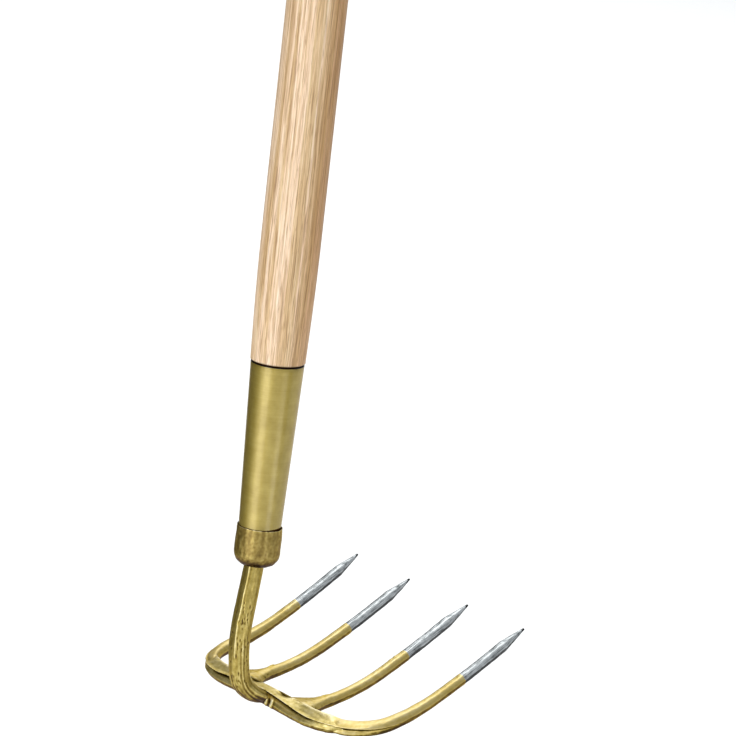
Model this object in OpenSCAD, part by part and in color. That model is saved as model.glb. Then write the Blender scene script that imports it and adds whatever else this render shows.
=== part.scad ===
// Long handled four-tine cultivator: ash handle, steel ferrule and a forged, lacquered claw head.
// Millimetres. +Z runs up the handle, the tines reach towards +Y, and the origin is the hand grip.
// Inside the modules heights are measured from the rim of the bolster cup.

/* [Handle] */
// Diameter of the straight handle
handle_d = 32; // [30:0.5:38]
// Length of the handle above the ferrule
handle_len = 1370; // [900:10:1600]
// Diameter of the wood where it meets the ferrule
neck_d = 29.4; // [28:0.2:30]
// Length of the taper between the ferrule and the straight handle
neck_len = 66; // [20:1:150]
// Radius of the rounded edge of the butt end
butt_round = 5; // [1:0.5:12]
// Distance from the butt end down to the hand grip
grip_from_butt = 420; // [200:10:700]

/* [Ferrule] */
// Length of the ferrule above the bolster cup
ferrule_len = 90; // [60:1:120]
// Outside diameter of the ferrule at its mouth
ferrule_top_d = 28.8; // [26:0.2:29]
// Outside diameter of the ferrule at the bolster cup
ferrule_end_d = 23.2; // [22.4:0.2:24]
// Wall thickness of the ferrule
ferrule_wall = 1.2; // [0.8:0.1:2]
// Length of the reduced end of the ferrule inside the cup
spigot_len = 6; // [3:0.5:8]
// Step in radius from the ferrule to its reduced end
spigot_step = 0.9; // [0.5:0.1:1.2]
// Diameter of the drive pin through ferrule, wood and tang
pin_d = 4; // [2:0.5:5]
// Height of the drive pin above the cup rim
pin_height = 38; // [20:1:50]
// Depth of the drive pin past the middle of the tang
pin_past = 8; // [5:0.5:9]
// Height of the pin's domed end above the ferrule
pin_dome = 0.8; // [0.4:0.1:1.5]

/* [Bolster cup] */
// Diameter of the cup at its rim
cup_rim_d = 24.5; // [24:0.1:26]
// Largest diameter of the cup
cup_d = 25; // [24:0.2:28]
// Height of the cup
cup_h = 22; // [18:0.2:30]
// Radius of the cup's rounded lower edge
cup_round = 6; // [2:0.5:7]
// Drop from the rim to the cup's largest diameter
cup_swell_drop = 8; // [4:1:12]

/* [Shank] */
// Diameter of the shank at the cup
shank_top_d = 10.4; // [8:0.2:11]
// Diameter of the shank at its bends and toe
shank_d = 11; // [8:0.2:12]
// Depth below the cup rim at which the shank starts to lean
knee_depth = 12; // [9:0.5:16]
// Backward lean of the upper shank in degrees
shank_lean = 7; // [0:0.5:12]
// Length of the straight, leaning part of the shank
shank_straight = 40; // [20:1:80]
// Radius of the long forward sweep
sweep_r = 90; // [60:1:150]
// Turn of the long forward sweep in degrees
sweep_angle = 20; // [10:1:30]
// Radius of the tight bend into the toe
toe_r = 20; // [12:1:30]
// Turn of the tight bend in degrees
toe_angle = 66; // [55:1:70]
// Length of the tang inside the handle
tang_len = 72; // [55:1:85]
// Diameter of the tang at its tip
tang_tip_d = 6; // [5:0.2:8]

/* [Crossbar] */
// Depth of the crossbar from back to front
bar_depth = 8; // [6:0.2:12]
// Height of the crossbar
bar_height = 9.4; // [6:0.2:12]
// Rounding of the crossbar's long edges
bar_round = 1.4; // [0.4:0.1:2.4]
// Radius at which the ends of the bar turn into the outer tines
corner_r = 33; // [24:1:36]
// Turn of the bar's ends before the outer tines are welded on
seam_angle = 34; // [10:1:60]

/* [Tines] */
// Distance between the two inner tines
inner_spread = 50.4; // [40:0.2:56]
// Distance between the points of the two outer tines
outer_spread = 144; // [136:1:170]
// Outward splay of the outer tines in degrees
splay = 1.3; // [0:0.1:4]
// Thickness of a tine along its length
tine_d = 6.4; // [5:0.1:8]
// Thickness of a tine at its root
tine_root_d = 7.8; // [6.4:0.1:10]
// Rounding of a tine's edges
tine_round = 2.4; // [0.5:0.1:2.4]
// Radius of the bend near the root
root_r = 130; // [90:1:200]
// Turn of the bend near the root in degrees
root_angle = 26; // [23:0.5:34]
// Radius of the shallow bend towards the point
blade_r = 600; // [300:10:900]
// Turn of the shallow bend in degrees
blade_angle = 4.8; // [2:0.5:8]
// Length of the ground point at the end of a tine
point_len = 16; // [8:1:30]
// Thickness of the blunt end of the point
point_d = 1.2; // [0.6:0.1:2]
// Width of the flared root of an inner tine
web_w = 20; // [10:1:26]
// Length of the flared root of an inner tine
web_len = 17; // [6:1:24]
// Length over which a tine thins from its root
root_ease = 30; // [18:1:50]

/* [Fits] */
// Clearance between pieces that are driven together
fit_gap = 0.15; // [0.05:0.05:0.3]
// Clearance under the reduced end of the ferrule
floor_gap = 0.3; // [0.1:0.1:0.6]

/* [Hidden] */
$fn = 64;

// Steps in each curve
curve_steps = 10;
// Points on each rounded corner of a section
corner_points = 4;
// Points round the shank
shank_sides = 24;
// Margin by which a cut passes the solid that it cuts
cut = 20;

handle_r = handle_d / 2;
butt_z = ferrule_len + handle_len;
grip_z = butt_z - grip_from_butt;

ferrule_top_r = ferrule_top_d / 2;
ferrule_end_r = ferrule_end_d / 2;
spigot_r = ferrule_end_r - spigot_step;
spigot_z = -spigot_len;
nose_gap = ferrule_wall + fit_gap;
recess_r = spigot_r + fit_gap;
recess_z = spigot_z - floor_gap;
ferrule_r_at_pin = ferrule_end_r + (ferrule_top_r - ferrule_end_r) * pin_height / ferrule_len;

lean_y = -shank_straight * sin(shank_lean);
lean_z = -knee_depth - shank_straight * cos(shank_lean);
sweep_end = shank_lean - sweep_angle;
sweep_y = lean_y + sweep_r * (cos(shank_lean) - cos(sweep_end));
sweep_z = lean_z - sweep_r * (sin(shank_lean) - sin(sweep_end));
toe_end = sweep_end - toe_angle;
toe_y = sweep_y + toe_r * (cos(sweep_end) - cos(toe_end));
toe_z = sweep_z - toe_r * (sin(sweep_end) - sin(toe_end));

bar_back = toe_y;
bar_mid = bar_back + bar_depth / 2;
bar_front = bar_back + bar_depth;
bar_z = toe_z;
inner_x = inner_spread / 2;

root_end = root_r * root_angle * PI / 180;
blade_end = root_end + blade_r * blade_angle * PI / 180;
tine_end = blade_end + point_len;

corner_turn = 90 - splay;
corner_mid_y = bar_mid + corner_r;
corner_end_y = corner_mid_y - corner_r * sin(splay);
corner_end = root_r * asin((corner_end_y - bar_front) / root_r) * PI / 180;
outer_root_x = outer_spread / 2 - (tine_at(tine_end).x - corner_end_y) * tan(splay);
corner_mid_x = outer_root_x - corner_r * cos(splay);

// Direction of a vector
function unit(v) = v / norm(v);

// Rounded rectangle of width w, height h and corner radius r, as points around the origin
function rounded_section(w, h, r) = [
    for (corner = [0:3], k = [0:corner_points - 1])
        let (
            a = 90 * (corner + k / (corner_points - 1)),
            right = corner == 0 || corner == 3 ? 1 : -1,
            top = corner < 2 ? 1 : -1
        )
        [right * (w / 2 - r) + r * cos(a), top * (h / 2 - r) + r * sin(a)]
];

// Circle of diameter d, as points around the origin
function round_section(d) = [
    for (k = [0:shank_sides - 1])
        let (a = 360 * k / shank_sides)
        d / 2 * [cos(a), sin(a)]
];

// A section set at a point, with its width along side and its height along up
function placed(section, at, side, up) = [for (q = section) at + side * q.x + up * q.y];

// Rise of a tine's centre line, in degrees, at a distance along it from the bar
function tine_angle(s) =
    s < root_end ? s / root_r * 180 / PI :
    s < blade_end ? root_angle + (s - root_end) / blade_r * 180 / PI :
    root_angle + blade_angle;

// Place of a tine's centre line, as [y, z], at a distance along it from the bar
function tine_at(s) =
    s <= root_end ?
        [bar_front + root_r * sin(tine_angle(s)), bar_z + root_r * (1 - cos(tine_angle(s)))] :
    s <= blade_end ?
        tine_at(root_end) + blade_r * [
            sin(tine_angle(s)) - sin(root_angle),
            cos(root_angle) - cos(tine_angle(s))
        ] :
    tine_at(blade_end) + (s - blade_end) * [cos(tine_angle(s)), sin(tine_angle(s))];

// Ring of points round a tine at distance s, for a section of width w and height h
function tine_ring(x, s, w, h, turned = 0) =
    let (at = tine_at(s), a = tine_angle(s), r = min(tine_round, w * tine_round / tine_d))
    placed(
        rounded_section(w, h, r),
        [x, at.x, at.y],
        [cos(turned), -sin(turned), 0],
        [-sin(a) * sin(turned), -sin(a) * cos(turned), cos(a)]
    );

// Sideways place of an outer tine's centre line at a distance along it from the bar
function outer_x(s) = outer_root_x + (tine_at(s).x - corner_end_y) * tan(splay);

// Rise of the outer tine above the bar, in degrees, where its corner has reached y
function corner_rise(y) = y <= bar_front ? 0 : asin((y - bar_front) / root_r);

// Ring of points round the corner that turns from the bar, at 0 degrees, into an outer tine
function corner_ring(a) =
    let (
        t = a / corner_turn,
        y = corner_mid_y - corner_r * cos(a),
        rise = corner_rise(y),
        at = [corner_mid_x + corner_r * sin(a), y, bar_z + root_r * (1 - cos(rise))],
        side = [sin(a), -cos(a), 0],
        along = [cos(a), sin(a), sin(a) * tan(rise)],
        w = bar_depth + (tine_root_d - bar_depth) * t,
        h = bar_height + (tine_root_d - bar_height) * t,
        r = bar_round + (tine_round - bar_round) * t
    )
    placed(rounded_section(w, h, r), at, side, unit(cross(side, along)));

// The same ring on the left side of the head
function left_ring(ring) = [for (q = ring) [-q.x, q.y, q.z]];

// Closed solid through rings that all have the same number of points
module skin(rings) {
    n = len(rings[0]);
    last = len(rings) - 1;
    polyhedron(
        points = [for (ring = rings) each ring],
        faces = concat(
            [[for (k = [0:n - 1]) k]],
            [for (i = [0:last - 1], k = [0:n - 1]) [i * n + k, (i + 1) * n + k, i * n + (k + 1) % n]],
            [for (i = [0:last - 1], k = [0:n - 1])
                [i * n + (k + 1) % n, (i + 1) * n + k, (i + 1) * n + (k + 1) % n]],
            [[for (k = [0:n - 1]) last * n + n - 1 - k]]
        )
    );
}

// Thickness of a tine at a distance past its root, easing to the slender part
function slender_d(past) = tine_d + (tine_root_d - tine_d) * max(0, 1 - past / root_ease);

module inner_tine() {
    flare = [
        for (i = [0:curve_steps])
            let (s = web_len * i / curve_steps, ease = pow(1 - i / curve_steps, 2), d = slender_d(s))
            tine_ring(inner_x, s, d + (web_w - d) * ease, d)
    ];
    slender = [
        for (i = [1:2 * curve_steps])
            let (s = web_len + (blade_end - web_len) * i / (2 * curve_steps), d = slender_d(s))
            tine_ring(inner_x, s, d, d)
    ];
    point = [tine_ring(inner_x, tine_end, point_d, point_d)];
    color("goldenrod") skin(concat(flare, slender, point));
}

module outer_tine() {
    corner = [
        for (i = [0:curve_steps])
            corner_ring(seam_angle + (corner_turn - seam_angle) * i / curve_steps)
    ];
    slender = [
        for (i = [1:2 * curve_steps])
            let (
                s = corner_end + (blade_end - corner_end) * i / (2 * curve_steps),
                d = slender_d(s - corner_end)
            )
            tine_ring(outer_x(s), s, d, d, splay)
    ];
    point = [tine_ring(outer_x(tine_end), tine_end, point_d, point_d, splay)];
    color("goldenrod") skin(concat(corner, slender, point));
}

module crossbar() {
    arm = [for (i = [0:curve_steps]) corner_ring(seam_angle * i / curve_steps)];
    far_arm = [for (i = [curve_steps:-1:0]) left_ring(arm[i])];
    color("darkgoldenrod") skin(concat(far_arm, arm));
}

// Ring of points round the shank at [y, z], where it points down but for a backward lean
function shank_ring(at, lean, d) =
    placed(round_section(d), [0, at.x, at.y], [1, 0, 0], [0, cos(lean), -sin(lean)]);

// Rings round a forward bend of the shank that starts at [y, z] with a backward lean
function bend_rings(at, lean, radius, turn) = [
    for (i = [1:curve_steps])
        let (now = lean - turn * i / curve_steps)
        shank_ring(at + radius * [cos(lean) - cos(now), sin(now) - sin(lean)], now, shank_d)
];

module shank() {
    tang = [
        shank_ring([0, spigot_z + tang_len], 0, tang_tip_d),
        shank_ring([0, spigot_z], 0, shank_top_d),
        shank_ring([0, -knee_depth], shank_lean / 2, shank_top_d)
    ];
    straight = [shank_ring([lean_y, lean_z], shank_lean, shank_d)];
    sweep = bend_rings([lean_y, lean_z], shank_lean, sweep_r, sweep_angle);
    toe = bend_rings([sweep_y, sweep_z], sweep_end, toe_r, toe_angle);
    toe_face = placed(round_section(shank_d), [0, bar_back, bar_z], [1, 0, 0], [0, 0, bar_height / shank_d]);
    bends = concat(sweep, [for (i = [0:curve_steps - 2]) toe[i]]);
    color("darkgoldenrod") difference() {
        skin(concat(tang, straight, bends, [toe_face]));
        pin_hole();
    }
}

// Hole that the tang, the knee and the leaning shank fill
module shank_hole() {
    hole_d = shank_top_d + 2 * fit_gap;
    translate([0, 0, spigot_z])
        cylinder(h = tang_len + fit_gap, d1 = hole_d, d2 = tang_tip_d + 2 * fit_gap);
    translate([0, 0, -knee_depth]) {
        cylinder(h = knee_depth + spigot_z, d = hole_d);
        sphere(d = hole_d);
        rotate([180 - shank_lean, 0, 0])
            cylinder(h = shank_straight, d1 = hole_d, d2 = shank_d + 2 * fit_gap);
    }
}

// Hole that the drive pin fills
module pin_hole() {
    translate([0, -pin_past, pin_height])
        rotate([-90, 0, 0])
            cylinder(h = pin_past + ferrule_r_at_pin + cut, d = pin_d + 2 * fit_gap);
}

module bolster_cup() {
    color("goldenrod") difference() {
        rotate_extrude()
            polygon(concat(
                [[0, -cup_h]],
                [for (i = [0:curve_steps])
                    let (a = 90 * i / curve_steps)
                    [cup_d / 2 - cup_round + cup_round * sin(a), -cup_h + cup_round - cup_round * cos(a)]],
                [
                    [cup_d / 2, -cup_swell_drop],
                    [cup_rim_d / 2, 0],
                    [recess_r, 0],
                    [recess_r, recess_z],
                    [0, recess_z]
                ]
            ));
        shank_hole();
    }
}

module ferrule() {
    color("gold") difference() {
        rotate_extrude()
            polygon([
                [spigot_r, spigot_z],
                [spigot_r, 0],
                [ferrule_end_r, 0],
                [ferrule_top_r, ferrule_len],
                [ferrule_top_r - ferrule_wall, ferrule_len],
                [ferrule_end_r - ferrule_wall, ferrule_wall],
                [spigot_r - ferrule_wall, ferrule_wall],
                [spigot_r - ferrule_wall, spigot_z]
            ]);
        pin_hole();
    }
}

module ferrule_pin() {
    color("silver") translate([0, -pin_past + fit_gap, pin_height])
        rotate([-90, 0, 0])
            rotate_extrude()
                polygon([
                    [0, 0],
                    [pin_d / 2, 0],
                    [pin_d / 2, pin_past + ferrule_r_at_pin],
                    [pin_d / 4, pin_past + ferrule_r_at_pin + pin_dome],
                    [0, pin_past + ferrule_r_at_pin + pin_dome]
                ]);
}

module ash_handle() {
    color("burlywood") difference() {
        rotate_extrude()
            polygon(concat(
                [
                    [0, spigot_z],
                    [spigot_r - nose_gap, spigot_z],
                    [spigot_r - nose_gap, ferrule_wall + fit_gap],
                    [ferrule_end_r - nose_gap, ferrule_wall + fit_gap],
                    [ferrule_top_r - nose_gap, ferrule_len]
                ],
                [for (i = [0:curve_steps])
                    let (t = i / curve_steps)
                    [neck_d / 2 + (handle_r - neck_d / 2) * sin(90 * t), ferrule_len + neck_len * t]],
                [for (i = [0:curve_steps])
                    let (a = 90 * i / curve_steps)
                    [handle_r - butt_round + butt_round * cos(a), butt_z - butt_round + butt_round * sin(a)]],
                [[0, butt_z]]
            ));
        shank_hole();
        pin_hole();
    }
}

// Set a piece whose heights are measured from the cup rim into the frame of the hand grip
module from_grip() {
    translate([0, 0, -grip_z]) children();
}

// Mirror a right-hand tine to the left side of the head
module on_left() {
    mirror([1, 0, 0]) children();
}

from_grip() ash_handle();
from_grip() ferrule();
from_grip() ferrule_pin();
from_grip() bolster_cup();
from_grip() shank();
from_grip() crossbar();
from_grip() on_left() outer_tine();  // outer_left_tine
from_grip() on_left() inner_tine();  // inner_left_tine
from_grip() inner_tine();  // inner_right_tine
from_grip() outer_tine();  // outer_right_tine
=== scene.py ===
"""Looks of a long handled claw cultivator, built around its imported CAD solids.

Sizes are in metres. +Z runs up the handle, the tines reach towards +Y and the crossbar runs
along X. The classes measure heights from the rim of the bolster cup, and settle() moves each
finished mesh into the frame of the hand grip.
"""

import logging
import math
import random
from collections.abc import Callable, Sequence
from dataclasses import dataclass, field
from enum import Enum

import bmesh
import bpy
import numpy as np
from mathutils import Matrix, Vector, noise


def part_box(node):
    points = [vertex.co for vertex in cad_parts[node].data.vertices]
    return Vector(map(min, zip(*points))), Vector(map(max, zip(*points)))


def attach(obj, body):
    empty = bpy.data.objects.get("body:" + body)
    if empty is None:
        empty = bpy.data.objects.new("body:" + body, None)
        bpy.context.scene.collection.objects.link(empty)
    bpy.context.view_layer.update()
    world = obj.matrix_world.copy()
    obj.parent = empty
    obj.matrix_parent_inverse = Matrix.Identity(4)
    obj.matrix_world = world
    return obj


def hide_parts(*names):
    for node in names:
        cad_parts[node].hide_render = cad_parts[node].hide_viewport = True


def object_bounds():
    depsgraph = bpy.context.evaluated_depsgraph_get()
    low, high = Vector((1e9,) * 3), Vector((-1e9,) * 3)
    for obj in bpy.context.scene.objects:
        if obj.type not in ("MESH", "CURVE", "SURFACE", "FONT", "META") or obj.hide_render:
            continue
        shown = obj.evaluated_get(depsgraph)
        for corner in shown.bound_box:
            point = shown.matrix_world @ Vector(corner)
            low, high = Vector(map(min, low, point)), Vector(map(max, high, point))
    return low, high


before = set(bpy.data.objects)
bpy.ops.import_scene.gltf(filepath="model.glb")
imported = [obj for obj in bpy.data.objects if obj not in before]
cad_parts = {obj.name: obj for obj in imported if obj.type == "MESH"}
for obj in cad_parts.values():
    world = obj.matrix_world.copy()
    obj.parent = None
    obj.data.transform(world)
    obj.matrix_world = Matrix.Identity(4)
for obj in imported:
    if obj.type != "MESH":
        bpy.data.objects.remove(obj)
CAD_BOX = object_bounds()
RIM_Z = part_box("bolster_cup")[1].z

MM = 0.001
BODY = "root"
FERRULE_LENGTH = 90.0 * MM
BAR_HEIGHT = 9.4 * MM
# Colour that the lacquer gives to reflections.
LACQUER_TINT = "C9AE66"
SHARP_ANGLE = math.radians(38)
# Distance below which two points count as one.
TINY = 1e-6
# Turn of the photograph's view about the handle.
VIEW_TURN = math.radians(48.755)
# Painted shade starts where a face looks down this far, and a face that looks up gets painted
# light.
SHADE_FROM, SHADE_RANGE, TOP_LIGHT = 0.1, 0.75, 0.5
# Step from one piece's noise pattern to the next one's.
PATTERN_STEP = (7.31, 3.17, 5.71)
log = logging.getLogger("cultivator")

Socket = bpy.types.NodeSocket
Material = bpy.types.Material
BMesh = bmesh.types.BMesh
# In a shape, a pair is where a change starts and where it is complete. A pair whose name ends in
# hump is the middle and the reach of a hump.
Pair = tuple[float, float]
Triple = tuple[float, float, float]
# Gives the painted shade and dark marks at a place that is measured from the rim of the cup.
ShadeAndDirt = Callable[[Vector], float]
# Size of forging marks along each axis, and their depth, in millimetres.
Marks = Sequence[tuple[Triple, float]]


class Side(Enum):
    """Side of the head that a tine stands on."""

    LEFT = -1
    RIGHT = 1


class Row(Enum):
    """Place of a tine on the crossbar."""

    INNER = "inner"
    OUTER = "outer"


class Ray(Enum):
    """Rays that a card of the studio holds back."""

    GLOSSY = "visible_glossy"
    DIFFUSE = "visible_diffuse"


def linear(colour: str) -> tuple[float, float, float, float]:
    """Turns an sRGB hex colour into linear RGBA.

    Args:
        colour: Hex digits such as "B5A05A".

    Returns:
        Linear red, green and blue, with full alpha.
    """
    parts = [int(colour[i : i + 2], 16) / 255 for i in (0, 2, 4)]
    red, green, blue = [p / 12.92 if p <= 0.04045 else ((p + 0.055) / 1.055) ** 2.4 for p in parts]
    return red, green, blue, 1.0


def ease(value: float, low: float, high: float) -> float:
    """Smooth step of a value between two limits.

    Args:
        value: Value to test.
        low: Limit at which the step starts, which may be the larger one.
        high: Limit at which the step is complete.

    Returns:
        0 before low, 1 past high, and a smooth rise between them.
    """
    t = min(1.0, max(0.0, (value - low) / (high - low)))
    return t * t * (3 - 2 * t)


def bump(value: float, middle: float, reach: float) -> float:
    """Smooth hump that is 1 at its middle and 0 beyond its reach."""
    return 1 - ease(abs(value - middle), 0.0, reach)


def spaced(start: float, end: float, step: float) -> list[float]:
    """Even distances from a start to an end, with a step close to the one that is wanted."""
    count = round((end - start) / step)
    return [start + (end - start) * i / count for i in range(count + 1)]


def quarter(rings: int) -> list[float]:
    """Angles of a quarter turn in even steps."""
    return [i / rings * math.pi / 2 for i in range(rings + 1)]


class Shader:
    """Node tree of one material with a Principled surface, on Object coordinates."""

    def __init__(self, name: str) -> None:
        """Starts a material.

        Args:
            name: Name of the real material.
        """
        self.material = bpy.data.materials.new(name)
        self.material.use_nodes = True
        self.tree = self.material.node_tree
        self.surface = self.tree.nodes["Principled BSDF"]
        self.place = self.add("TexCoord", out=3)

    def add(
        self,
        kind: str,
        links: dict | None = None,
        out: int = 0,
        ramp: Sequence[tuple[float, str]] = (),
        **settings: object,
    ) -> Socket:
        """Adds a node with its settings and links.

        Args:
            kind: Node type without its ShaderNode prefix.
            links: Socket names or numbers with the value or socket that each takes.
            out: Number of the output that is wanted.
            ramp: Places and colours of a colour ramp.
            **settings: Properties of the node.

        Returns:
            The wanted output socket.
        """
        node = self.tree.nodes.new("ShaderNode" + kind)
        for name, value in settings.items():
            setattr(node, name, value)
        for i, (place, colour) in enumerate(ramp):
            stops = node.color_ramp.elements
            stop = stops[i] if i < 2 else stops.new(place)
            stop.position, stop.color = place, linear(colour)
        self.feed(node, links or {})
        return node.outputs[out]

    def feed(self, node: bpy.types.Node, links: dict) -> None:
        """Sets or links the sockets of a node.

        Args:
            node: Node to feed.
            links: Socket names or numbers with the value or socket that each takes.
        """
        for socket, value in links.items():
            if isinstance(value, Socket):
                self.tree.links.new(value, node.inputs[socket])
            else:
                node.inputs[socket].default_value = value

    def shade(self, tone: Socket, **marks: float) -> Socket:
        """Lets the marks on a mesh change a tone.

        Args:
            tone: Tone before the marks.
            **marks: Names of the mesh's attributes, and what a full mark adds to the tone.

        Returns:
            Changed tone.
        """
        for name, change in marks.items():
            mark = self.add("Attribute", attribute_name=name, out=2)
            tone = self.add("Math", {0: mark, 1: change, 2: tone}, operation="MULTIPLY_ADD")
        return tone

    def dress(self, links: dict) -> Material:
        """Feeds the Principled surface and hands over the material.

        Args:
            links: Socket names with the value or socket that each takes.

        Returns:
            The finished material.
        """
        self.feed(self.surface, links)
        return self.material


@dataclass(frozen=True)
class AshWood:
    """Turned and sanded ash under a thin clear lacquer.

    Ring-porous wood: each year starts with a dark line of open pores and ends in dense pale
    wood. So a rift-cut handle shows straight streaks of uneven width along its length. It is
    painted browner towards one side, as painted shade. Each grain has a width and a length.
    """

    ring: float = 1.8 * MM
    ring_shift: float = 2.2
    pith: Pair = (-0.046, -0.056)
    band: Pair = (3.2 * MM, 350.0 * MM)
    streak: Pair = (1.1 * MM, 60.0 * MM)
    # Fibres and pores are finer in real wood. They are drawn this coarse so that they show.
    fibre: Pair = (0.5 * MM, 16.0 * MM)
    pore: Pair = (0.4 * MM, 6.0 * MM)
    waver: float = 0.7
    streak_share: float = 0.66
    fibre_share: float = 0.62
    line_share: float = 0.24
    pore_share: float = 0.6
    pore_depth: float = 0.8
    # Painted shade: the handle is browner towards this side, from the first distance to the second.
    side_shade_toward: Pair = (0.66, 0.75)
    side_shade: Pair = (6.5 * MM, 15.5 * MM)

    def drawn(self, s: Shader, grain: Pair) -> Socket:
        """Adds noise that is drawn out along the handle.

        Args:
            s: Shader that takes the nodes.
            grain: Width and length of a streak.

        Returns:
            Noise value.
        """
        scale = (1 / grain[0], 1 / grain[0], 1 / grain[1])
        scaled = s.add("Mapping", {"Vector": s.place, "Scale": scale})
        settings = {"Vector": scaled, "Scale": 1.0, "Detail": 2.0, "Distortion": self.waver}
        return s.add("TexNoise", settings)

    def material(self) -> Material:
        """Builds the wood.

        Returns:
            Material with growth rings, streaks, fibres, pores and a stain at the joint.
        """
        s = Shader("lacquered ash")
        grains = (self.band, self.streak, self.fibre, self.pore)
        band, streak, fibre, speck = [self.drawn(s, grain) for grain in grains]
        tints = [(0.3, "DCC49C"), (0.46, "E8D2B0"), (0.58, "F0DBC2"), (0.72, "F3E2CC")]
        stripes = [(0.3, "B3956A"), (0.43, "DCC7A6"), (0.52, "FFF3E6"), (0.7, "FFFFFF")]
        threads = [(0.32, "A08058"), (0.5, "F6EDE0"), (0.6, "FFFFFF")]
        colour = s.add("ValToRGB", {0: band}, ramp=tints)
        stripe = s.add("ValToRGB", {0: streak}, ramp=stripes)
        thread = s.add("ValToRGB", {0: fibre}, ramp=threads)
        flat = s.add("VectorMath", {0: s.place, 1: (1, 1, 0)}, operation="MULTIPLY")
        depth = s.add("VectorMath", {0: flat, 1: (*self.pith, 0)}, out=1, operation="DISTANCE")
        years = s.add("Math", {0: depth, 1: 1 / self.ring}, operation="MULTIPLY")
        shifted = s.add("Math", {0: band, 1: self.ring_shift, 2: years}, operation="MULTIPLY_ADD")
        year = s.add("Math", {0: shifted}, operation="FRACT")
        spring = s.add("MapRange", {0: year, 1: 0.4, 2: 0.1})
        line = s.add("Math", {0: spring, 1: self.line_share}, operation="MULTIPLY")
        # Painted shade: browner towards one side of the handle.
        side = (*self.side_shade_toward, 0)
        toward = s.add("VectorMath", {0: s.place, 1: side}, out=1, operation="DOT_PRODUCT")
        side_shade = s.add("MapRange", {0: toward, 1: self.side_shade[0], 2: self.side_shade[1]})
        holes = s.add("MapRange", {0: speck, 1: 0.57, 2: 0.68, 4: self.pore_share})
        pores = s.add("Math", {0: holes, 1: spring}, operation="MULTIPLY")
        # Painted shade on the wood just above the joint to the ferrule.
        joint_shade = s.add("Attribute", attribute_name="grime", out=2)
        for share, layer, blend in (
            (self.streak_share, stripe, "MULTIPLY"),
            (self.fibre_share, thread, "MULTIPLY"),
            (line, linear("B08A5C"), "MIX"),
            (side_shade, linear("F2D6AC"), "MULTIPLY"),
            (pores, linear("967048"), "MIX"),
            (joint_shade, linear("2E2012"), "MIX"),
        ):
            sockets = {0: share, 6: colour, 7: layer}
            colour = s.add("Mix", sockets, out=2, data_type="RGBA", blend_type=blend)
        rough = s.add("MapRange", {0: fibre, 1: 0.3, 2: 0.7, 3: 0.6, 4: 0.46})
        relief = s.add("Math", {0: pores, 1: -self.pore_depth, 2: fibre}, operation="MULTIPLY_ADD")
        normal = s.add("Bump", {"Strength": 0.3, "Distance": 0.15 * MM, "Height": relief})
        surface = {"Base Color": colour, "Roughness": rough, "Normal": normal}
        return s.dress(surface | {"Coat Weight": 0.1, "Coat Roughness": 0.4})


@dataclass(frozen=True)
class GoldLacquer:
    """Transparent gold lacquer over forged steel.

    The lacquer tints the reflections of the metal below it. Ridges are paler and hollows browner,
    partly from thin and pooled lacquer and partly as painted highlight and painted shade. Faces
    that look down get painted shade, faces that look up painted light, and joints, creases and a
    line along the crest of the tines get painted shade.
    """

    name: str
    darkest: str = "2E2008"
    dark: str = "5F4A18"
    body: str = "A28E46"
    light: str = "CAB770"
    lightest: str = "E4D9AA"
    mottle: float = 5.0 * MM
    # The grit of the scale below the lacquer is drawn coarser than it is, so that it shows.
    grit: float = 1.1 * MM
    grit_share: float = 0.35
    stretch: Triple = (1.0, 1.0, 1.0)
    middle_tone: float = 0.52
    mottling: float = 0.3
    # Strength of the painted shade on faces that look down.
    underside_shade_depth: float = 0.42
    rough: float = 0.36
    relief: float = 0.3
    coat: float = 0.2

    def material(self) -> Material:
        """Builds the lacquer.

        Returns:
            Material that reads the hollow, under, grime and scale_strip attributes of a mesh.
        """
        s = Shader(self.name)
        place = s.add("Mapping", {"Vector": s.place, "Scale": self.stretch})
        spots = {"Vector": place, "Scale": 1 / self.mottle, "Detail": 4.0, "Roughness": 0.62}
        cloud = s.add("TexNoise", spots)
        grain = s.add("TexNoise", {"Vector": place, "Scale": 1 / self.grit, "Detail": 2.0})
        share = self.grit_share
        both = s.add("Math", {0: cloud, 1: 1 - share, 2: -0.5}, operation="MULTIPLY_ADD")
        mixed = s.add("Math", {0: grain, 1: share, 2: both}, operation="MULTIPLY_ADD")
        mottled = {0: mixed, 1: 2 * self.mottling, 2: self.middle_tone}
        clouded = s.add("Math", mottled, operation="MULTIPLY_ADD")
        # Painted shade in hollows and painted highlight on ridges, partly thin and pooled lacquer;
        # painted shade on faces that look down and painted light on faces that look up; painted
        # shade in joints, creases and along the crest of the tines.
        tone = s.shade(clouded, hollow=-0.42, under=-self.underside_shade_depth, grime=-0.6, scale_strip=-0.45)
        shades = (self.darkest, self.dark, self.body, self.light, self.lightest)
        ramp = list(zip((0.0, 0.22, 0.5, 0.74, 1.0), shades))
        colour = s.add("ValToRGB", {0: tone}, ramp=ramp)
        limits = {0: mixed, 1: -0.2, 2: 0.2, 3: self.rough + 0.1, 4: self.rough - 0.06}
        rough = s.add("MapRange", limits)
        height = s.add("Math", {0: grain, 1: share, 2: cloud}, operation="MULTIPLY_ADD")
        normal = s.add("Bump", {"Strength": self.relief, "Distance": 0.35 * MM, "Height": height})
        return s.dress(
            {
                "Base Color": colour,
                "Roughness": rough,
                "Normal": normal,
                "Metallic": 0.88,
                "Specular IOR Level": 0.3,
                "Specular Tint": linear(LACQUER_TINT),
                "Coat Weight": self.coat,
                "Coat Roughness": 0.2,
                "Coat IOR": 1.6,
            }
        )


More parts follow.
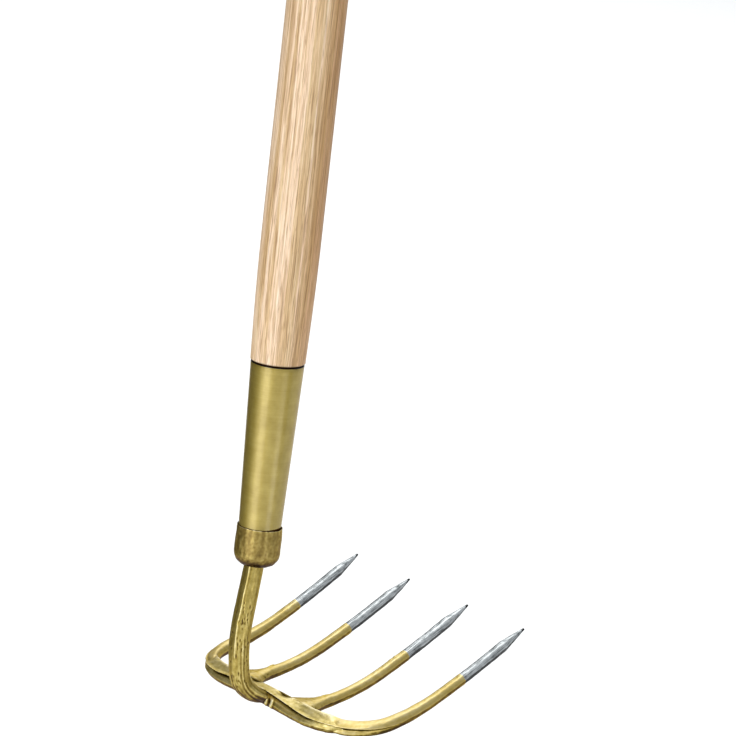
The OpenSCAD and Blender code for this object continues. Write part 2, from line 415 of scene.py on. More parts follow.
@dataclass(frozen=True)
class DrawnLacquer:
    """Gold lacquer on a smooth drawn sleeve.

    Drawing leaves faint rings and a satin sheen, so a soft band of light runs up the sleeve.
    """

    cloud: float = 50 / 7 * MM
    # Real drawing rings are finer. They are drawn this coarse so that they show.
    ring: float = 0.5 * MM
    ring_length: float = 25.0 * MM
    ring_share: float = 0.3

    def material(self) -> Material:
        """Builds the satin lacquer of the ferrule.

        Returns:
            Material that reads the grime attribute.
        """
        s = Shader("satin gold lacquer")
        cloud = s.add("TexNoise", {"Vector": s.place, "Scale": 1 / self.cloud, "Detail": 3.0})
        scale = (1 / self.ring_length, 1 / self.ring_length, 1 / self.ring)
        stretched = s.add("Mapping", {"Vector": s.place, "Scale": scale})
        rings = s.add("TexNoise", {"Vector": stretched, "Scale": 1.0, "Detail": 2.0})
        both = s.add("Math", {0: rings, 1: self.ring_share, 2: cloud}, operation="MULTIPLY_ADD")
        golds = [(0.0, "1E1506"), (0.35, "978330"), (0.65, "A69240"), (0.95, "B29E4C")]
        # Painted shade at the joint to the wood.
        colour = s.add("ValToRGB", {0: s.shade(both, grime=-0.8)}, ramp=golds)
        rough = s.add("MapRange", {0: cloud, 1: 0.3, 2: 0.7, 3: 0.52, 4: 0.46})
        normal = s.add("Bump", {"Strength": 0.05, "Distance": 0.04 * MM, "Height": both})
        return s.dress(
            {
                "Base Color": colour,
                "Roughness": rough,
                "Normal": normal,
                "Metallic": 0.85,
                "Specular Tint": linear(LACQUER_TINT),
                "Coat Weight": 0.65,
                "Coat Roughness": 0.26,
                "Coat IOR": 1.8,
            }
        )


@dataclass(frozen=True)
class GroundSteel:
    """Bare steel, ground along the tine.

    The stone leaves bright streaks along the tine, and the lower sides are painted darker, as
    painted shade.
    """

    # Real grinding marks are finer. They are drawn this coarse so that they show.
    streak: float = 0.5 * MM
    streak_length: float = 9.0 * MM
    cloud: float = 10 / 3 * MM
    cloud_share: float = 0.4
    contrast: float = 1.2
    # Strength of the painted shade on the lower sides.
    underside_shade_gain: float = 1.7
    rise: float = math.radians(29)

    def material(self) -> Material:
        """Builds the bare steel of the points.

        Returns:
            Material that reads the hollow, under, grime and scale_strip attributes of a mesh.
        """
        s = Shader("ground steel")
        level = s.add("Mapping", {"Vector": s.place, "Rotation": (-self.rise, 0, 0)})
        scale = (1 / self.streak, 1 / self.streak_length, 1 / self.streak)
        drawn = s.add("Mapping", {"Vector": level, "Scale": scale})
        streak = s.add("TexNoise", {"Vector": drawn, "Scale": 1.0, "Detail": 3.0})
        cloud = s.add("TexNoise", {"Vector": s.place, "Scale": 1 / self.cloud, "Detail": 3.0})
        both = s.add("Math", {0: streak, 1: self.contrast, 2: -0.2}, operation="MULTIPLY_ADD")
        mixed = s.add("Math", {0: cloud, 1: self.cloud_share, 2: both}, operation="MULTIPLY_ADD")
        # Painted shade on faces that look down, and painted shade in hollows, joints and along the
        # crest.
        under = s.add("Attribute", attribute_name="under", out=2)
        down = s.add("Math", {0: under, 1: 0.0}, operation="MAXIMUM")
        scaled = s.add("Math", {0: down, 1: -self.underside_shade_gain, 2: mixed}, operation="MULTIPLY_ADD")
        tone = s.shade(scaled, hollow=-0.3, grime=-0.8, scale_strip=-0.7)
        greys = ("101112", "2C2E30", "868B8C", "BEC3C4", "DEE2E3")
        ramp = list(zip((0.0, 0.22, 0.42, 0.6, 0.86), greys))
        colour = s.add("ValToRGB", {0: tone}, ramp=ramp)
        rough = s.add("MapRange", {0: streak, 1: 0.3, 2: 0.7, 3: 0.5, 4: 0.36})
        normal = s.add("Bump", {"Strength": 0.3, "Distance": 0.1 * MM, "Height": streak})
        surface = {"Base Color": colour, "Roughness": rough, "Normal": normal}
        return s.dress(surface | {"Metallic": 1.0})


@dataclass(frozen=True)
class PinSteel:
    """Drawn wire steel of the drive pin, dulled by handling, so that it shines only softly."""

    cloud: float = 10 / 9 * MM

    def material(self) -> Material:
        """Builds the steel of the pin.

        Returns:
            Material with a faintly clouded shine.
        """
        s = Shader("drawn pin steel")
        cloud = s.add("TexNoise", {"Vector": s.place, "Scale": 1 / self.cloud, "Detail": 4.0})
        colour = s.add("ValToRGB", {0: cloud}, ramp=[(0.3, "7F8287"), (0.7, "B2B6BB")])
        rough = s.add("MapRange", {0: cloud, 1: 0.3, 2: 0.7, 3: 0.5, 4: 0.34})
        normal = s.add("Bump", {"Strength": 0.2, "Distance": 0.1 * MM, "Height": cloud})
        surface = {"Base Color": colour, "Roughness": rough, "Normal": normal}
        return s.dress(surface | {"Metallic": 1.0})


@dataclass(frozen=True)
class SeamShade:
    """Dull dark brown that paints the shade in a seam as a line."""

    grain: float = 0.6 * MM

    def material(self) -> Material:
        """Builds the painted seam shade.

        Returns:
            Matt dark brown material.
        """
        s = Shader("painted shade in the seam")
        cloud = s.add("TexNoise", {"Vector": s.place, "Scale": 1 / self.grain, "Detail": 2.0})
        colour = s.add("ValToRGB", {0: cloud}, ramp=[(0.3, "2C1A08"), (0.7, "482C10")])
        return s.dress({"Base Color": colour, "Roughness": 0.9, "Specular IOR Level": 0.0})


@dataclass(frozen=True)
class StudioPaper:
    """Matt paper or felt of the studio. Its tooth is drawn coarse and hardly shows."""

    name: str
    low: str
    high: str
    tooth: float = 50 / 3 * MM

    def material(self) -> Material:
        """Builds the paper.

        Returns:
            Matt material between two close tones.
        """
        s = Shader(self.name)
        tooth = s.add("TexNoise", {"Vector": s.place, "Scale": 1 / self.tooth, "Detail": 2.0})
        colour = s.add("ValToRGB", {0: tooth}, ramp=[(0.3, self.low), (0.7, self.high)])
        return s.dress({"Base Color": colour, "Roughness": 0.95, "Specular IOR Level": 0.1})


@dataclass(frozen=True)
class Station:
    """One place along a swept bar, with the axes and size of its section."""

    at: Vector
    side: Vector
    up: Vector
    wide: float
    high: float
    along: float

    def place(self, point: Vector) -> Vector:
        """Sets a point of the section into space."""
        return self.at + self.side * point.x + self.up * point.y


@dataclass(frozen=True)
class Section:
    """Cross section of a bar, as rounded corners in a square from -1 to 1."""

    corners: tuple[Pair, ...]
    rounding: tuple[float, ...]
    longest: float

    def draw(self, bm: BMesh) -> None:
        """Draws the section as a closed ring of edges.

        Args:
            bm: Empty mesh that takes the ring.
        """
        ring = bmesh.ops.create_circle(bm, cap_ends=True, segments=len(self.corners), radius=1)
        for vert, corner in zip(ring["verts"], self.corners):
            vert.co = (*corner, 0)
        for vert, offset in zip(ring["verts"], self.rounding):
            bmesh.ops.bevel(
                bm,
                geom=[vert],
                offset=offset,
                segments=4,
                profile=0.5,
                affect="VERTICES",
                material=-1,
            )
        bmesh.ops.delete(bm, geom=bm.faces[:], context="FACES_ONLY")
        for edge in bm.edges[:]:
            cuts = int(edge.calc_length() / self.longest)
            if cuts:
                bmesh.ops.subdivide_edges(bm, edges=[edge], cuts=cuts)


@dataclass(frozen=True)
class RoundSection:
    """Circular cross section."""

    segments: int

    def draw(self, bm: BMesh) -> None:
        """Draws the section as a closed ring of edges."""
        bmesh.ops.create_circle(bm, cap_ends=False, segments=self.segments, radius=1)


def sweep(
    section: Section | RoundSection,
    stations: Sequence[Station],
    shape: Callable[[Vector, Station], Vector],
) -> BMesh:
    """Extrudes a section through stations and closes both ends.

    Args:
        section: Section to sweep.
        stations: Places that the section passes.
        shape: Changes a point of the section at a station.

    Returns:
        Closed mesh. Its along layer holds each vertex's distance along the bar, and its flat
        layer the vertex's place in the plain section.
    """
    bm = bmesh.new()
    section.draw(bm)
    flat = bm.verts.layers.float_vector.new("flat")
    along = bm.verts.layers.float.new("along")
    for vert in bm.verts:
        vert[flat] = vert.co
    ring, edges = bm.verts[:], bm.edges[:]
    start = edges
    for i, station in enumerate(stations):
        if i:
            made = bmesh.ops.extrude_edge_only(bm, edges=edges)["geom"]
            ring = [g for g in made if isinstance(g, bmesh.types.BMVert)]
            edges = [g for g in made if isinstance(g, bmesh.types.BMEdge) and g.is_boundary]
        for vert in ring:
            local = vert[flat]
            point = Vector((local.x * station.wide / 2, local.y * station.high / 2))
            vert[along] = station.along
            vert.co = station.place(shape(point, station))
    for loop in (start, edges):
        bmesh.ops.edgeloop_fill(bm, edges=loop)
    bmesh.ops.recalc_face_normals(bm, faces=bm.faces)
    return bm


def turn(profile: Sequence[Pair], steps: int, pitch: float, closed: bool, edge: float) -> BMesh:
    """Turns a profile about the handle's axis.

    Args:
        profile: Radius and height of each corner.
        steps: Steps in the full turn.
        pitch: Longest edge along the profile.
        closed: Joins the last corner to the first.
        edge: Width of the rounding on sharp rims.

    Returns:
        Closed mesh.
    """
    corners = [Vector((r, 0, z)) for r, z in profile]
    corners += corners[:1] if closed else []
    bm = bmesh.new()
    last = bm.verts.new(corners[0])
    for before, after in zip(corners, corners[1:]):
        parts = 1 + int((after - before).length / pitch)
        for i in range(parts):
            new = bm.verts.new(before.lerp(after, (i + 1) / parts))
            bm.edges.new((last, new))
            last = new
    bmesh.ops.spin(
        bm,
        geom=bm.verts[:] + bm.edges[:],
        cent=(0, 0, 0),
        axis=(0, 0, 1),
        dvec=(0, 0, 0),
        angle=2 * math.pi,
        steps=steps,
        use_merge=True,
    )
    bmesh.ops.remove_doubles(bm, verts=bm.verts, dist=TINY)
    bmesh.ops.recalc_face_normals(bm, faces=bm.faces)
    sharp = [e for e in bm.edges if e.calc_face_angle(0) > SHARP_ANGLE]
    rims = [e for e in sharp if min(v.co.xy.length for v in e.verts) > edge]
    bmesh.ops.bevel(
        bm, geom=rims, offset=edge, segments=3, profile=0.5, affect="EDGES", material=-1
    )
    return bm


def roughen(bm: BMesh, seed: int, marks: Marks) -> None:
    """Moves the surface in and out by smooth noise.

    Args:
        bm: Mesh to roughen.
        seed: Number that sets each piece's own pattern.
        marks: Sizes and depths of the marks.
    """
    bm.normal_update()
    start = Vector([seed * step for step in PATTERN_STEP])
    sizes = [(Vector(size) * MM, depth * MM) for size, depth in marks]
    moves = []
    for vert in bm.verts:
        depth = 0.0
        for size, reach in sizes:
            spot = Vector((vert.co.x / size.x, vert.co.y / size.y, vert.co.z / size.z))
            depth += reach * noise.noise(spot + start)
        moves.append(vert.normal * depth)
    for vert, move in zip(bm.verts, moves):
        vert.co += move


def read_relief(mesh: bpy.types.Mesh, rounds: int, depth: float, shade_and_dirt: ShadeAndDirt | None) -> None:
    """Stores on a mesh the marks by which its materials paint shade and light.

    The hollow attribute is how deep a point lies below its smoothed surroundings, from -1 on a
    ridge to 1 in a groove. The under attribute is painted light and painted shade by facing: it
    falls below 0 where the surface faces up and grows to 1 where it faces down. The grime
    attribute is painted shade in the joints, seams and creases, and it also holds dark flecks and
    a darker tip on the tines.

    Args:
        mesh: Mesh that takes the attributes.
        rounds: Rounds of smoothing, which set the size of the relief that counts.
        depth: Depth that counts as 1.
        shade_and_dirt: Gives the painted shade and dark marks at a place.
    """
    count = len(mesh.vertices)
    points, normals = np.empty(count * 3), np.empty(count * 3)
    ends = np.empty(len(mesh.edges) * 2, int)
    mesh.vertices.foreach_get("co", points)
    mesh.vertex_normals.foreach_get("vector", normals)
    mesh.edges.foreach_get("vertices", ends)
    points, normals, ends = points.reshape(-1, 3), normals.reshape(-1, 3), ends.reshape(-1, 2)
    near = np.concatenate([ends, ends[:, ::-1]])
    degree = np.maximum(np.bincount(near[:, 0], minlength=count), 1)
    smooth = points.copy()
    for _ in range(rounds):
        axes = [np.bincount(near[:, 0], smooth[near[:, 1], k], count) for k in range(3)]
        smooth = np.stack(axes, 1) / degree[:, None]
    lift = ((smooth - points) * normals).sum(1)
    hollow = np.clip((lift - np.median(lift)) / depth, -1, 1)
    facing = normals[:, 2]
    under = np.clip((-facing - SHADE_FROM) / SHADE_RANGE, 0, 1) - TOP_LIGHT * np.clip(facing, 0, 1)
    rim = Vector((0, 0, RIM_Z))
    grime = np.array([shade_and_dirt(v.co - rim) if shade_and_dirt else 0.0 for v in mesh.vertices])
    for name, values in (("hollow", hollow), ("under", under), ("grime", grime)):
        layer = mesh.attributes.new(name, "FLOAT", "POINT")
        layer.data.foreach_set("value", values.astype(np.float32))


def settle(
    bm: BMesh,
    name: str,
    node: str,
    materials: Sequence[Material],
    relief: tuple[int, float] = (6, 0.3 * MM),
    shade_and_dirt: ShadeAndDirt | None = None,
) -> None:
    """Moves a mesh into the frame of the hand grip and makes it a piece of the tool.

    Args:
        bm: Finished mesh, which is freed.
        name: Name of the piece.
        node: CAD node that it stands for.
        materials: Its materials in order.
        relief: Rounds of smoothing and depth of a full hollow, for the relief attributes.
        shade_and_dirt: Gives the painted shade and dark marks at a place.
    """
    bmesh.ops.translate(bm, verts=bm.verts, vec=(0, 0, RIM_Z))
    for vert in bm.verts:
        vert.co.z = max(vert.co.z, CAD_BOX[0].z)
        vert.co.y = min(vert.co.y, CAD_BOX[1].y)
    bm.normal_update()
    for face in bm.faces:
        face.smooth = True
    for line in bm.edges:
        line.smooth = line.calc_face_angle(0) < SHARP_ANGLE
    mesh = bpy.data.meshes.new(name)
    bm.to_mesh(mesh)
    bm.free()
    for material in materials:
        mesh.materials.append(material)
    read_relief(mesh, *relief, shade_and_dirt)
    piece = bpy.data.objects.new(name, mesh)
    bpy.context.scene.collection.objects.link(piece)
    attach(piece, BODY)
    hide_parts(node)
    log.info("%s: %d faces for %s", name, len(mesh.polygons), node)


@dataclass
class Handle:
    """Turned ash handle with its tapered neck and rounded butt."""

    radius: float = 15.95 * MM
    length: float = 1370.0 * MM
    neck_radius: float = 14.7 * MM
    neck_length: float = 66.0 * MM
    neck_rings: int = 12
    # Share of the neck's length at which its first ring lies, close above the joint.
    first_ring: float = 0.014
    butt_round: float = 5.0 * MM
    butt_rings: int = 8
    nose_radius: float = 12.9 * MM
    nose_depth: float = 6.0 * MM
    joint: float = 0.8 * MM
    edge_round: float = 0.45 * MM
    # Height of the painted seam shade on the handle's lower edge.
    seam_shade_edge: float = 0.15 * MM
    # Where the painted shade on the wood above the joint starts and where it is full.
    wood_shade_top: float = 0.75 * MM
    wood_shade_full: float = 0.1 * MM
    pitch: float = 24.0 * MM
    steps: int = 96

    @property
    def base(self) -> float:
        """Height of the handle's lower edge, at the joint to the ferrule."""
        return FERRULE_LENGTH + self.joint

    def profile(self) -> list[Pair]:
        """Draws the profile of the handle.

        Returns:
            Corners from the hidden nose in the ferrule up to the middle of the butt.
        """
        top = FERRULE_LENGTH + self.length
        nose = self.base - self.nose_depth
        corners = [(0.0, nose), (self.nose_radius, nose), (self.nose_radius, self.base)]
        swell = self.radius - self.neck_radius
        rings = [i / self.neck_rings for i in range(1, self.neck_rings + 1)]
        for t in (0.0, self.first_ring, *rings):
            z = self.base + (self.neck_length - self.joint) * t
            corners.append((self.neck_radius + swell * math.sin(t * math.pi / 2), z))
        for a in quarter(self.butt_rings):
            r = self.radius - self.butt_round * (1 - math.cos(a))
            corners.append((r, top - self.butt_round * (1 - math.sin(a))))
        return corners + [(0.0, top)]

    def shade_and_dirt(self, spot: Vector) -> float:
        """Painted shade on the wood just above the joint."""
        return ease(spot.z, self.base + self.wood_shade_top, self.base + self.wood_shade_full)

    def build(self, wood: Material, seam_shade: Material) -> None:
        """Builds the handle.

        Args:
            wood: Material of the handle.
            seam_shade: Material that paints the shade on its edge in the joint to the ferrule.
        """
        bm = turn(self.profile(), self.steps, self.pitch, False, self.edge_round)
        # Faces on the lower edge get the painted seam shade.
        for face in bm.faces:
            face.material_index = int(face.calc_center_median().z < self.base + self.seam_shade_edge)
        settle(
            bm, "turned_ash_handle", "ash_handle", [wood, seam_shade], shade_and_dirt=self.shade_and_dirt
        )


def seam_side(spot: Vector) -> float:
    """Tells how far a place lies on the side where the ferrule stands off the cup's rim.

    Args:
        spot: Place round the axis of the handle.

    Returns:
        1 at the right of the photo's view, and 0 from its middle on to the left.
    """
    away = Vector((math.cos(VIEW_TURN), math.sin(VIEW_TURN)))
    return ease(spot.xy.normalized().dot(away), 0.1, 1.0)


@dataclass
class Ferrule:
    """Drawn steel sleeve over the end of the handle, with its drive pin."""

    length: float = FERRULE_LENGTH
    top_radius: float = 14.4 * MM
    end_radius: float = 11.5 * MM
    wall: float = 1.2 * MM
    seat: float = 2.0 * MM
    seat_gap: float = 0.1 * MM
    edge_round: float = 0.35 * MM
    # The rings near the seam are this close, so that the painted seam shade can grow wider on one
    # side.
    seam_ring: float = 0.15 * MM
    seam_rings: int = 10
    seam_height: float = 0.2 * MM
    seam_growth: float = 0.75 * MM
    edge_shade_from: float = 0.5 * MM
    edge_shade_full: float = 0.1 * MM
    pitch: float = 3.0 * MM
    steps: int = 128
    pin_radius: float = 2.0 * MM
    pin_height: float = 38.0 * MM
    pin_dome: float = 0.8 * MM
    pin_shoulder: float = 0.3 * MM
    pin_past: float = 7.85 * MM
    pin_edge: float = 0.2 * MM
    pin_pitch: float = 2.0 * MM
    pin_rings: int = 8
    pin_steps: int = 32

    @property
    def slope(self) -> float:
        """Growth of the sleeve's radius for its height."""
        return (self.top_radius - self.end_radius) / self.length

    def shade_and_dirt(self, spot: Vector) -> float:
        """Painted shade on the upper edge, at the joint to the wood."""
        return ease(spot.z, self.length - self.edge_shade_from, self.length - self.edge_shade_full)

    def build(self, lacquer: Material, seam_shade: Material, steel: Material) -> None:
        """Builds the sleeve and the pin.

        Args:
            lacquer: Material of the sleeve.
            seam_shade: Material that paints the shade on its edge in the seam to the cup.
            steel: Material of the pin.
        """
        heights = [i * self.seam_ring for i in range(self.seam_rings + 1)]
        corners = [
            (self.end_radius - self.seat_gap, -self.seat),
            *((self.end_radius + z * self.slope, z) for z in heights),
            (self.top_radius, self.length),
            (self.top_radius - self.wall, self.length),
            (self.end_radius - self.wall, -self.seat),
        ]
        bm = turn(corners, self.steps, self.pitch, True, self.edge_round)
        # Faces below this height get the painted seam shade, wider on one side.
        for face in bm.faces:
            middle = face.calc_center_median()
            seam = self.seam_height + self.seam_growth * seam_side(middle)
            face.material_index = int(middle.z < seam)
        settle(bm, "drawn_ferrule", "ferrule", [lacquer, seam_shade], shade_and_dirt=self.shade_and_dirt)
        self.build_pin(steel)

    def build_pin(self, steel: Material) -> None:
        """Builds the drive pin with its domed end on the front of the sleeve.

        Args:
            steel: Material of the pin.
        """
        reach = self.end_radius + self.slope * self.pin_height
        shoulder = reach - self.pin_shoulder
        rise = self.pin_dome + self.pin_shoulder
        corners = [(0.0, -self.pin_past), (self.pin_radius, -self.pin_past)]
        for a in quarter(self.pin_rings):
            corners.append((self.pin_radius * math.cos(a), shoulder + rise * math.sin(a)))
        bm = turn(corners, self.pin_steps, self.pin_pitch, False, self.pin_edge)
        forward = Matrix.Rotation(-math.pi / 2, 4, "X")
        bmesh.ops.transform(bm, matrix=forward, verts=bm.verts)
        bmesh.ops.translate(bm, verts=bm.verts, vec=(0, 0, self.pin_height))
        settle(bm, "domed_drive_pin", "ferrule_pin", [steel])


@dataclass
class BolsterCup:
    """Forged cup that takes the end of the ferrule."""

    rim_radius: float = 12.25 * MM
    radius: float = 12.5 * MM
    height: float = 22.0 * MM
    lower_round: float = 7.2 * MM
    round_rings: int = 10
    swell_drop: float = 8.0 * MM
    mouth_radius: float = 11.95 * MM
    mouth_depth: float = 2.6 * MM
    edge_round: float = 0.22 * MM
    # The rim is this deep and reaches this far in, and it drops on the side of the wide seam.
    rim_depth: float = 1.0 * MM
    rim_inside: float = 0.3 * MM
    rim_drop: float = 0.35 * MM
    # Reach of the painted shade past the mouth.
    rim_shade_width: float = 0.2 * MM
    marks: Marks = (((2.4, 2.4, 6.0), 0.18), ((1.4, 1.4, 1.4), 0.1))
    seed: int = 3
    relief: tuple[int, float] = (16, 0.34 * MM)
    pitch: float = 0.45 * MM
    steps: int = 208

    def shade_and_dirt(self, spot: Vector) -> float:
        """Finds the painted shade on the inner edge of the rim.

        Args:
            spot: Place measured from the rim.

        Returns:
            1 inside the mouth, and 0 on the outside of the cup.
        """
        if spot.z <= -2 * self.mouth_depth:
            return 0.0
        inside = self.mouth_radius - self.rim_inside
        return 1 - ease(spot.xy.length, inside, self.mouth_radius + self.rim_shade_width)

    def build(self, lacquer: Material) -> None:
        """Builds the cup.

        Args:
            lacquer: Material of the cup.
        """
        corners = [(0.0, -self.height)]
        for a in quarter(self.round_rings):
            r = self.radius - self.lower_round * (1 - math.sin(a))
            corners.append((r, -self.height + self.lower_round * (1 - math.cos(a))))
        corners += [
            (self.radius, -self.swell_drop),
            (self.rim_radius, 0.0),
            (self.mouth_radius, 0.0),
            (self.mouth_radius, -self.mouth_depth),
            (0.0, -self.mouth_depth),
        ]
        bm = turn(corners, self.steps, self.pitch, False, self.edge_round)
        roughen(bm, self.seed, self.marks)
        inside = self.mouth_radius - self.rim_inside
        for vert in bm.verts:
            if vert.co.z > -self.rim_depth and vert.co.xy.length > inside:
                vert.co.z -= self.rim_drop * seam_side(vert.co)
        settle(bm, "forged_cup", "bolster_cup", [lacquer], self.relief, self.shade_and_dirt)


@dataclass
class Groove:
    """Groove, ridge or pit along the shank, left by the forging."""

    angle: float
    width: float
    depth: float
    start: float
    end: float
    sway: float
    # Waves of the sway in a metre, and what sets each groove's own pattern.
    waves: float = 90.0
    pattern: float = 3.0
    longest_run: float = 3.0 * MM

    def cut(self, angle: float, along: float) -> float:
        """Finds the depth of the groove.

        Args:
            angle: Angle round the shank.
            along: Distance along the shank.

        Returns:
            Depth at that place.
        """
        wave = noise.noise(Vector((along * self.waves, self.angle * self.pattern, 0)))
        middle = self.angle + self.sway * wave
        away = (angle - middle + math.pi) % (2 * math.pi) - math.pi
        if abs(away) > self.width:
            return 0.0
        run = min(self.longest_run, (self.end - self.start) / 2)
        ends = ease(along, self.start, self.start + run) * ease(along, self.end, self.end - run)
        return self.depth * bump(away, 0.0, self.width) * ends


@dataclass
class Shank:
    """Round forged shank that leans back, sweeps forward and meets the crossbar."""

    top_d: float = 10.4 * MM
    d: float = 11.0 * MM
    start: float = 10.0 * MM
    knee: float = 12.0 * MM
    lean: float = math.radians(7)
    straight: float = 40.0 * MM
    sweep_r: float = 90.0 * MM
    sweep_turn: float = math.radians(20)
    toe_r: float = 20.0 * MM
    toe_turn: float = math.radians(66)
    bury: float = 2.0 * MM
    # The toe flattens and spreads over these lengths before it meets the bar.
    toe_run: float = 9.0 * MM
    spread: float = 0.75
    spread_run: float = 19.0 * MM
    spread_rise: Pair = (-3.0 * MM, 4.0 * MM)
    sole: float = 0.2
    sole_run: Pair = (21.0 * MM, 6.0 * MM)
    # Painted shade on the flanks of the toe, and where it lies.
    flank_shade: float = 0.55
    flank_hump: Pair = (5.2 * MM, 3.4 * MM)
    flank_run: Pair = (3.0 * MM, 10.0 * MM)
    layout_seed: int = 41
    groove_count: int = 11
    groove_jitter: float = 0.3
    groove_starts: Pair = (44.0, 72.0)
    groove_widths: Pair = (0.2, 0.32)
    groove_depths: Pair = (0.15, 0.34)
    groove_end: float = 130.0 * MM
    groove_sway: float = 0.1
    ridge_angle: float = math.radians(-61)
    ridge_turns: Triple = (0.0, math.pi * 0.62, math.pi * 1.3)
    ridge_width: float = 0.2
    ridge_height: float = 0.3 * MM
    ridge_end: float = 84.0 * MM
    ridge_sway: float = 0.05
    # A wide groove of the same depth runs beside each ridge.
    valley_beside: float = 0.55
    valley_width: float = 0.42
    pit_count: int = 150
    pit_starts: Pair = (30.0, 80.0)
    pit_widths: Pair = (0.07, 0.13)
    pit_depths: Pair = (0.18, 0.42)
    pit_lengths: Pair = (1.2, 4.4)
    marks: Marks = (((2.6, 2.6, 9.0), 0.12), ((1.6, 1.6, 2.4), 0.05))
    seed: int = 5
    relief: tuple[int, float] = (9, 0.2 * MM)
    step: float = 0.55 * MM
    segments: int = 112
    grooves: list[Groove] = field(default_factory=list)

    def __post_init__(self) -> None:
        """Finds where the parts end, and lays out the grooves, ridges and pits."""
        self.knee_end: float = self.knee - self.start
        self.lean_end: float = self.knee_end + self.straight
        self.sweep_end: float = self.lean_end + self.sweep_r * self.sweep_turn
        self.toe_end: float = self.sweep_end + self.toe_r * self.toe_turn
        draw = random.Random(self.layout_seed)
        jitter = self.groove_jitter
        for i in range(self.groove_count):
            angle = 2 * math.pi * (i + draw.uniform(-jitter, jitter)) / self.groove_count
            start = draw.uniform(*self.groove_starts) * MM
            width = draw.uniform(*self.groove_widths)
            depth = draw.uniform(*self.groove_depths) * MM
            self.grooves.append(
                Groove(angle, width, depth, start, self.groove_end, self.groove_sway)
            )
        ridge_line = (0.0, self.ridge_end, self.ridge_sway)
        for turned in self.ridge_turns:
            ridge = self.ridge_angle + turned
            valley = ridge - self.valley_beside
            self.grooves += [
                Groove(ridge, self.ridge_width, -self.ridge_height, *ridge_line),
                Groove(valley, self.valley_width, self.ridge_height, *ridge_line),
            ]
        for _ in range(self.pit_count):
            start = draw.uniform(*self.pit_starts) * MM
            angle = draw.uniform(-math.pi, math.pi)
            width = draw.uniform(*self.pit_widths)
            depth = draw.uniform(*self.pit_depths) * MM
            end = start + draw.uniform(*self.pit_lengths) * MM
            self.grooves.append(Groove(angle, width, depth, start, end, 0.0))

    def line(self, s: float) -> tuple[Vector, float]:
        """Follows the centre line of the shank.

        Args:
            s: Distance along the shank from its start in the cup.

        Returns:
            Place, and the backward lean from straight down.
        """
        if s <= self.knee_end:
            return Vector((0, 0, -self.start - s)), 0.0
        at = Vector((0, 0, -self.knee))
        down = min(s, self.lean_end) - self.knee_end
        at += Vector((0, -math.sin(self.lean), -math.cos(self.lean))) * down
        now = self.lean
        for begin, radius, turn_by in (
            (self.lean_end, self.sweep_r, self.sweep_turn),
            (self.sweep_end, self.toe_r, self.toe_turn),
        ):
            then = now - min(max(s - begin, 0.0) / radius, turn_by)
            across = math.cos(now) - math.cos(then)
            at += radius * Vector((0, across, math.sin(then) - math.sin(now)))
            now = then
        past = max(s - self.toe_end, 0.0)
        return at + Vector((0, -math.sin(now), -math.cos(now))) * past, now

    def stations(self) -> list[Station]:
        """Places the stations of the shank.

        Returns:
            Stations from inside the cup to inside the crossbar.
        """
        toe = self.toe_end
        made = []
        for s in spaced(0.0, toe + self.bury, self.step):
            at, now = self.line(s)
            up = Vector((0, math.cos(now), -math.sin(now)))
            wide = self.top_d + (self.d - self.top_d) * ease(s, self.knee_end, self.lean_end)
            high = wide + (BAR_HEIGHT - wide) * ease(s, toe - self.toe_run, toe)
            made.append(Station(at, Vector((1, 0, 0)), up, wide, high, s))
        return made

    def carve(self, point: Vector, station: Station) -> Vector:
        """Cuts the grooves into the section, and spreads and flattens the toe.

        Args:
            point: Point of the plain section.
            station: Station that it belongs to.

        Returns:
            Moved point.
        """
        angle = math.atan2(point.y, point.x)
        depth = sum(g.cut(angle, station.along) for g in self.grooves)
        moved = point * (1 - depth / max(point.length, TINY))
        toe = self.toe_end
        spread = ease(station.along, toe - self.spread_run, toe)
        moved.x *= 1 + self.spread * spread * ease(moved.y, *self.spread_rise)
        if moved.y < 0:
            begin, end = self.sole_run
            moved.y *= 1 - self.sole * ease(station.along, toe - begin, toe - end)
        return moved

    def shade_and_dirt(self, spot: Vector) -> float:
        """Painted shade on the flanks of the toe, where it meets the crossbar."""
        return self.flank_shade * bump(abs(spot.x), *self.flank_hump) * ease(spot.y, *self.flank_run)

    def build(self, lacquer: Material) -> None:
        """Builds the shank.

        Args:
            lacquer: Material of the shank.
        """
        bm = sweep(RoundSection(self.segments), self.stations(), self.carve)
        roughen(bm, self.seed, self.marks)
        settle(bm, "forged_shank", "shank", [lacquer], self.relief, self.shade_and_dirt)


